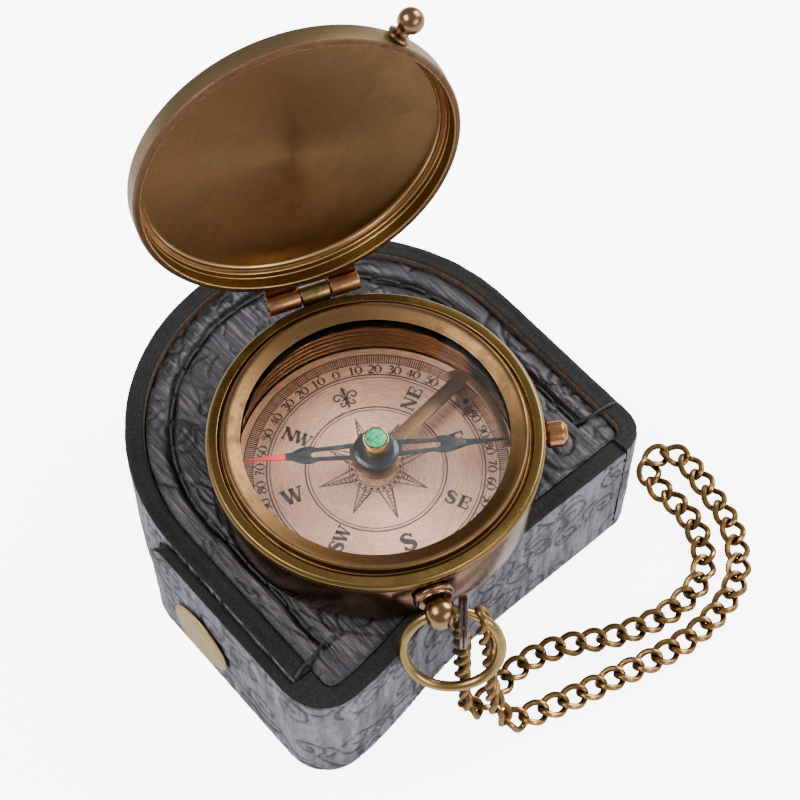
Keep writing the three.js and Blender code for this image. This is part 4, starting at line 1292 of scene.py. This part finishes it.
def tooling(low_x, high_x, low_y, high_y, seed, spacing=13.0, size=4.6):
    """Scrolls and joining stems over a field of leather."""
    chance = np.random.default_rng(seed)
    lines = []
    rows = int((high_y - low_y) / spacing) + 2
    columns = int((high_x - low_x) / spacing) + 2
    for i in range(columns):
        for j in range(rows):
            cx = low_x + (i + 0.25 + 0.5 * chance.random()) * spacing
            cy = low_y + (j + 0.25 + 0.5 * chance.random()) * spacing
            hand = 1 if (i + j) % 2 else -1
            angle = chance.random() * 2 * math.pi
            grown = size * (0.75 + 0.5 * chance.random())
            lines += scroll(cx, cy, grown, angle, hand)
            reach = spacing * 0.75
            bend = chance.random() * 2 - 1
            stem = [(cx + grown * math.cos(angle) + t * reach * math.cos(angle + bend * t),
                     cy + grown * math.sin(angle) + t * reach * math.sin(angle + bend * t))
                    for t in [k / 9 for k in range(10)]]
            lines.append(stem)
    return lines


def streaky(x, y, seed, across=1.6, along=0.07):
    """Streaks of grain along Y: ridges from 0 to 1."""
    bent = x + 0.3 * smooth_noise(x * 0.12, y * 0.12, seed + 9)
    ridges = 1 - np.abs(layered(bent * across, y * along, seed, 3))
    return np.clip((ridges - 0.45) / 0.55, 0, 1)


def cracks(x, y, seed, scale=0.11):
    """Wandering creases: 1 in the crease, 0 away from it."""
    wander = layered(x * scale, y * scale, seed, 4)
    return np.exp(-(wander / 0.035) ** 2)


def skew(x, y):
    """Draws the case's front left corner forward, as the soft leather stands."""
    left = np.clip((-x - 2.0) / 32.0, 0, 1)
    front = np.clip((-y - 12.0) / 24.0, 0, 1)
    return y - CORNER_FORWARD * left * left * (3 - 2 * left) * front * front * (3 - 2 * front)


def plan_loop(inset, spacing=0.5):
    """The case's outline, drawn in from its outside, starting at the right of the round back."""
    side = CASE_RADIUS - inset
    front = -(CASE_FRONT - inset)
    corner = max(CASE_CORNER - inset, 1.0)
    loop = arc(side, 0, math.pi, 120)
    loop += arc(corner, math.pi, math.pi * 1.5, 10, (-side + corner, front + corner))
    loop += arc(corner, math.pi * 1.5, math.pi * 2, 10, (side - corner, front + corner))
    loop.append(loop[0])
    length = even([(x, y, 0) for x, y in loop], 2)[1]
    points, _ = even([(x, y, 0) for x, y in loop], int(length / spacing) + 1)
    return [(p.x, p.y) for p in points[:-1]]


def relief_surface(name, points, faces, relief, finish_of_face, finishes):
    """A leather mesh in metres, with its relief for the finish to read."""
    mesh = bpy.data.meshes.new(name)
    mesh.from_pydata([CASE @ Vector(p) for p in points], [], faces)
    layer = mesh.attributes.new("relief", "FLOAT", "POINT")
    layer.data.foreach_set("value", np.asarray(relief, np.float32))
    for finish in finishes:
        mesh.materials.append(FINISH[finish])
    mesh.polygons.foreach_set("material_index", finish_of_face)
    return mesh


def make_case_top():
    """The top panel: grain, tooling, creases and the stitching groove, all in the surface."""
    loop = np.array(plan_loop(LEATHER + GAP, 0.45))
    centre = np.array([COMPASS.translation.x, COMPASS.translation.y]) / MM
    count = len(loop)
    shares = np.concatenate([np.linspace(0, 0.5, 90), np.linspace(0.53, 0.97, 14)])
    rings = [loop * (1 - s) + centre * s for s in shares]
    grid = np.concatenate(rings)
    x, y = grid[:, 0], grid[:, 1]
    side = np.where(y > 0, np.hypot(x, y), np.abs(x))
    inset = CASE_RADIUS - side + 0.9 * layered(x * 0.16, y * 0.16, 31, 3)
    groove = np.exp(-((inset - STITCH_INSET) / 0.85) ** 2) * (y > STITCH_END - 1)
    lip = np.exp(-((inset - STITCH_INSET + 1.5) / 1.0) ** 2) * (y > STITCH_END - 1)
    field = tooling(-32, 32, -38, 34, 5)
    tool = near_lines(x, y, field, 0.42) * (np.abs(inset - STITCH_INSET) > 1.2)
    grain = streaky(x, y, 3)
    crack = cracks(x, y, 17) * (layered(x * 0.05, y * 0.05, 44, 2) > -0.05)
    edge = np.repeat(np.exp(-(shares * 30 / 0.7) ** 2), count)
    height = 0.15 * grain + 0.2 * lip - 1.0 * groove - 0.28 * tool - 0.3 * crack
    height += 0.22 * layered(x * 0.12, y * 0.12, 71, 3) - 0.35 * edge
    relief = 0.3 + 0.3 * grain * (0.7 + 0.5 * smooth_noise(x * 0.2, y * 0.2, 8)) - 1.1 * groove - 0.35 * tool
    relief += 0.2 * lip - 0.5 * crack - 0.3 * edge
    under = np.hypot(x - centre[0], y - centre[1]) < BOWL_RADIUS + 0.4
    height = np.where(under, np.minimum(height, -0.05) - 0.1, np.clip(height, -1.2, 0.55))
    top = CASE_HEIGHT - GAP
    grid[:, 1] = skew(x, y)
    loop = grid[:count]
    points = [(px, py, top + h) for (px, py), h in zip(grid, height)]
    faces = []
    for i in range(len(shares) - 1):
        for k in range(count):
            n = (k + 1) % count
            faces.append([i * count + k, i * count + n, (i + 1) * count + n, (i + 1) * count + k])
    last = (len(shares) - 1) * count
    faces.append([last + k for k in range(count)])
    start = len(points)
    points += [(px, py, top - PANEL) for px, py in loop]
    faces += [[k, start + k, start + (k + 1) % count, (k + 1) % count] for k in range(count)]
    faces.append([start + k for k in range(count)][::-1])
    relief = np.concatenate([relief, np.zeros(count)])
    finish = [0] * (len(faces) - count - 1) + [1] * count + [2]
    mesh = relief_surface("case_top_tooled", points, faces, relief, finish, ["leather_top", "edge", "suede"])
    return settle("case_top_tooled", mesh, "case", ["case_top"], sharp=60)


def wall_path(kind):
    """Points along a leather wall's outside."""
    if kind == "wall":
        front = -(CASE_FRONT - CASE_CORNER - GAP - TAB_LEATHER)
        line = [(-CASE_RADIUS, front), (-CASE_RADIUS, 0)]
        line += [(CASE_RADIUS * math.cos(a), CASE_RADIUS * math.sin(a))
                 for a in [math.pi * (1 - k / 90) for k in range(1, 91)]]
        line += [(CASE_RADIUS, -(CASE_FRONT - CASE_CORNER))]
        middle = (CASE_RADIUS - CASE_CORNER, -(CASE_FRONT - CASE_CORNER))
        line += arc(CASE_CORNER, 0, -math.pi / 2, 12, middle)[1:]
        return line
    outer = CASE_CORNER + GAP + TAB_LEATHER
    centre = (-(CASE_RADIUS - CASE_CORNER), -(CASE_FRONT - outer))
    line = [(CASE_RADIUS - CASE_CORNER - GAP, -CASE_FRONT), (centre[0], -CASE_FRONT)]
    line += arc(outer, -math.pi / 2, -math.pi, 16, centre)[1:]
    line += [(centre[0] - outer, centre[1] + TAB_LENGTH - TAB_SHORT)]
    return line


def wall_grid(line, spacing):
    """Evenly spaced places along a wall, with their outward directions."""
    total = even([(x, y, 0) for x, y in line], 2)[1]
    points, _ = even([(x, y, 0) for x, y in line], int(total / spacing) + 1)
    path = np.array([(p.x, p.y) for p in points])
    tangent = np.gradient(path, axis=0)
    tangent /= np.linalg.norm(tangent, axis=1)[:, None]
    out = np.stack([-tangent[:, 1], tangent[:, 0]], axis=1)
    return path, out, np.linspace(0, total, len(path))


def wall_section(bottom, top, thickness, spacing):
    """(depth, height, kind) round a wall's section: 0 outside face, 1 cut edges, 2 inside face."""
    ease = 0.45
    section = []
    rows = int((top - bottom - 2 * ease) / spacing)
    for k in range(rows + 1):
        section.append((0.0, bottom + ease + (top - bottom - 2 * ease) * k / rows, 0))
    section += [(0.13, top - 0.13, 1), (ease, top, 1)]
    columns = max(int((thickness - 2 * ease) / 0.4), 2)
    for k in range(1, columns):
        section.append((ease + (thickness - 2 * ease) * k / columns, top, 1))
    section += [(thickness - ease, top, 1), (thickness - 0.13, top - 0.13, 1), (thickness, top - ease, 2)]
    inside = 12
    for k in range(1, inside):
        section.append((thickness, top - ease - (top - bottom - 2 * ease) * k / inside, 2))
    section += [(thickness, bottom + ease, 1), (thickness - 0.13, bottom + 0.13, 1),
                (thickness - ease, bottom, 1),
                (ease, bottom, 1), (0.13, bottom + 0.13, 1)]
    return section


def side_relief(s, z, seed, height_of_wall):
    """Surface of the side leather over its length s and height z."""
    field = tooling(-4, float(s.max()) + 4, -4, height_of_wall + 4, seed, 11.0, 4.2)
    tool = near_lines(s, z, field, 0.26)
    grain = streaky(s + 0.5 * z, z - 0.2 * s, seed, 1.7, 0.25)
    scratch = cracks(s * 1.3, z * 0.6, seed + 4, 0.2) * 0.5
    height = 0.1 * grain - 0.24 * tool - 0.14 * scratch + 0.16 * layered(s * 0.1, z * 0.1, seed + 2, 3)
    relief = 0.5 + 0.22 * grain - 0.75 * tool - 0.4 * scratch + 0.2 * layered(s * 0.08, z * 0.08, seed + 6, 2)
    return height, relief


def stitch_slots(s, z, first, last, level, pitch=4.6):
    """Slanted stitch holes under the rim: 1 in a hole."""
    phase = (s - first) / pitch
    nearest = np.round(phase)
    ds = (phase - nearest) * pitch
    dz = z - level
    lean = ds * 0.35 + dz
    inside = (s > first) & (s < last)
    return np.exp(-((ds / 1.1) ** 2 + (lean / 0.42) ** 2)) * inside


def corner_reach(x, y):
    """How thick the strip is at a place on its outside, so that it fills the corner behind it."""
    cx, cy = -(CASE_RADIUS - CASE_CORNER), -(CASE_FRONT - CASE_CORNER - GAP - TAB_LEATHER)
    far = math.hypot(x - cx, y - cy)
    if x > cx:
        return LEATHER
    if y > cy - 0.3:
        return TAB_LEATHER
    along, down = (cx - x) / far, (cy - y) / far
    ahead = CORNER_AHEAD * down
    round_part = ahead + math.sqrt(max(ahead ** 2 - CORNER_AHEAD ** 2 + CORNER_ROUND ** 2, 0.0))
    return far - min(round_part if down > 0.72 else 9.0, CORNER_ROUND / max(along, 1e-6))


def make_wall(kind, bottom, top, seed, stitched=False, tab=False):
    """Points, faces, relief and finishes of a tooled leather wall."""
    path, out, along = wall_grid(wall_path(kind), 0.5)
    section = wall_section(bottom, top, LEATHER, 0.5)
    depth = np.array([p[0] for p in section])
    level = np.array([p[1] for p in section])
    kinds = [p[2] for p in section]
    s = np.repeat(along, len(section))
    z = np.tile(level, len(path))
    d = np.tile(depth, len(path))
    if tab:
        d = d * np.repeat([corner_reach(x, y) / LEATHER for x, y in path], len(section))
    outside = np.tile(np.array([1.0 if k == 0 else 0.0 for k in kinds]), len(path))
    fade = np.clip(np.minimum(z - bottom, top - z) / 0.8, 0, 1)
    height, relief = side_relief(s, z, seed, top)
    if stitched:
        slots = stitch_slots(s, z, 8.0, float(along[-1]) - 22.0, top - 3.4)
        height = height - 1.0 * slots
        relief = relief - 1.2 * slots
    height = np.clip(height, -1.1, 0.25) * outside * fade
    half = (top + bottom) / 2
    rim = np.tile([1.0 if k == 1 and lev > half else 0.0 for k, lev in zip(kinds, level)], len(path))
    crease = np.exp(-((d - LEATHER * 0.55) / 0.25) ** 2)
    rim_lift = rim * (0.22 * layered(s * 0.35, d * 1.2, seed + 20, 3) - 0.25 * crease)
    base = np.repeat(path, len(section), axis=0)
    direction = np.repeat(out, len(section), axis=0)
    xy = base - direction * (d - height)[:, None]
    xy[:, 1] = skew(xy[:, 0], xy[:, 1])
    points = [(p[0], p[1], h) for p, h in zip(xy, np.minimum(z + rim_lift, top + 0.2))]
    rows = len(section)
    faces, finish = [], []
    for i in range(len(path) - 1):
        for k in range(rows):
            n = (k + 1) % rows
            faces.append([i * rows + k, i * rows + n, (i + 1) * rows + n, (i + 1) * rows + k])
            finish.append(kinds[n] if kinds[k] == 1 else kinds[k])
    for cap in (list(range(rows))[::-1], [(len(path) - 1) * rows + k for k in range(rows)]):
        faces.append(cap)
        finish.append(1)
    relief = np.where(outside > 0, relief, 0.4)
    return points, faces, relief, finish


def make_case_wall():
    points, faces, relief, finish = make_wall("wall", 0.0, CASE_HEIGHT + RIM_PROUD, 23, stitched=True)
    mesh = relief_surface("case_wall_tooled", points, faces, relief, finish,
                          ["leather_side", "edge", "suede"])
    return settle("case_wall_tooled", mesh, "case", ["case_wall"], sharp=60)


def make_front():
    """Front of the case and its closing tab, one strip of leather that bends where the tab swings."""
    points, faces, relief, finish = make_wall("front", GAP, CASE_HEIGHT, 61, tab=True)
    end = -(CASE_FRONT - CASE_CORNER - GAP - TAB_LEATHER) + TAB_LENGTH - TAB_SHORT
    half = CASE_HEIGHT / 2
    clipped = []
    for x, y, z in points:
        if x < -CASE_RADIUS and y > end - 12:
            y = min(y, end - max(0.0, abs(z - half) - (half - 3.0)))
        clipped.append((x, y, z))
    mesh = relief_surface("case_front_and_tab", clipped, faces, relief, finish,
                          ["leather_side", "edge", "suede"])
    made = bpy.data.objects.new("case_front_and_tab", mesh)
    bpy.context.scene.collection.objects.link(made)
    mesh.shade_smooth()
    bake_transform(made)
    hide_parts("case_front", "case_tab")
    return made


def make_snap():
    profile = [(0, 0.3), (SNAP_RADIUS - 0.5, 0.3), (SNAP_RADIUS, 0.55), (SNAP_RADIUS - 0.35, 0.95), (5, 1.16),
               (0, 1.25)]
    cap = lathe(eased(profile, 0.3, closed=False), 96, closed=False)
    cap.build("snap_cap_domed", SNAP, ["cap"], "tab", "bright_brass", ["snap_cap"])


def make_thread():
    """Stitches in the groove, and the two ends that cross the rim."""
    inset = plan_loop(STITCH_INSET, 0.5)
    loop = [p for p in inset if p[1] > STITCH_END]
    right_start = max(range(len(loop)), key=lambda i: (loop[i][0] > 0) * 100 - loop[i][1])
    loop = loop[right_start:] + loop[:right_start]
    line, total = even([(x, y, 0) for x, y in loop], 400)
    thread = Shape()
    pitch = 5.6
    count = int(total / pitch)
    level = CASE_HEIGHT - GAP - 0.42
    for i in range(count):
        stretch = line[int(i * 400 / count) + 1: int((i + 0.86) * 400 / count) + 1]
        if len(stretch) < 4:
            continue
        path = [(p.x, p.y, level - 0.25 * (2 * k / (len(stretch) - 1) - 1) ** 4) for k,
                p in enumerate(stretch)]
        thread.join(sweep(path, round_section(0.28, 8)))
    for side in (-1, 1):
        edge = CASE_RADIUS * side
        inner = (CASE_RADIUS - STITCH_INSET) * side
        top = CASE_HEIGHT + RIM_PROUD + 0.32
        path = spline([(inner, STITCH_END, level), (inner + 2.2 * side, STITCH_END - 0.8, CASE_HEIGHT + 0.25),
                       (edge - 3.9 * side, STITCH_END - 1.2, top - 0.15),
                       (edge - 2.0 * side, STITCH_END - 1.6, top),
                       (edge - 0.5 * side, STITCH_END - 2.0, top - 0.1)], 6)
        path = [(p.x, skew(p.x, p.y), p.z) for p in path]
        thread.join(sweep(path, round_section(0.32, 8)))
    return thread.build("stitch_thread_waxed", CASE, ["thread"], "case", "thread", ["stitch_thread"])


def finish_cad_nodes():
    """The CAD pieces that stay in view get their real finishes."""
    for node, finish in (("glass", "glass"), ("glass_seat_ring", "bezel"), ("pivot_post", "bright"),
                         ("pivot_pin", "steel"), ("lever_saddle", "lever"), ("case_bottom", "suede"),
                         ("snap_socket", "steel"), ("snap_stud", "steel")):
        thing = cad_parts[node]
        thing.data.materials.clear()
        thing.data.materials.append(FINISH[finish])


def make_table():
    finish = Finish("pale_table", Roughness=0.6)
    grain = finish.nodes.noise(finish.place, 30.0, 2.0)
    finish.wire(Base_Color=finish.nodes.mix(grain, rgb(0.93, 0.93, 0.93), rgb(0.95, 0.95, 0.95)))
    to_camera = finish.nodes.add("ShaderNodeLightPath").outputs["Is Camera Ray"]
    glow = finish.nodes.math("MULTIPLY", to_camera, TABLE_GLOW)
    finish.surface.inputs["Emission Color"].default_value = rgb(1, 1, 1)
    finish.nodes.tree.links.new(glow, finish.surface.inputs["Emission Strength"])
    mesh = bpy.data.meshes.new("table")
    corners = [(x * TABLE_REACH, y * TABLE_REACH, 0) for x, y in ((-1, -1), (1, -1), (1, 1), (-1, 1))]
    mesh.from_pydata(corners, [], [[0, 1, 2, 3]])
    mesh.materials.append(finish.material)
    table = bpy.data.objects.new("table", mesh)
    bpy.context.scene.collection.objects.link(table)


make_bowl()
make_bezel()
make_dial_plate()
make_dial_print()
make_needle()
make_cap()
make_lever()
make_plunger()
make_lid()
make_hinge()
make_lid_knob()
make_pendant()
make_bow()
make_split_ring()
make_case_top()
make_case_wall()
make_front()
make_snap()
make_thread()
finish_cad_nodes()
make_table()
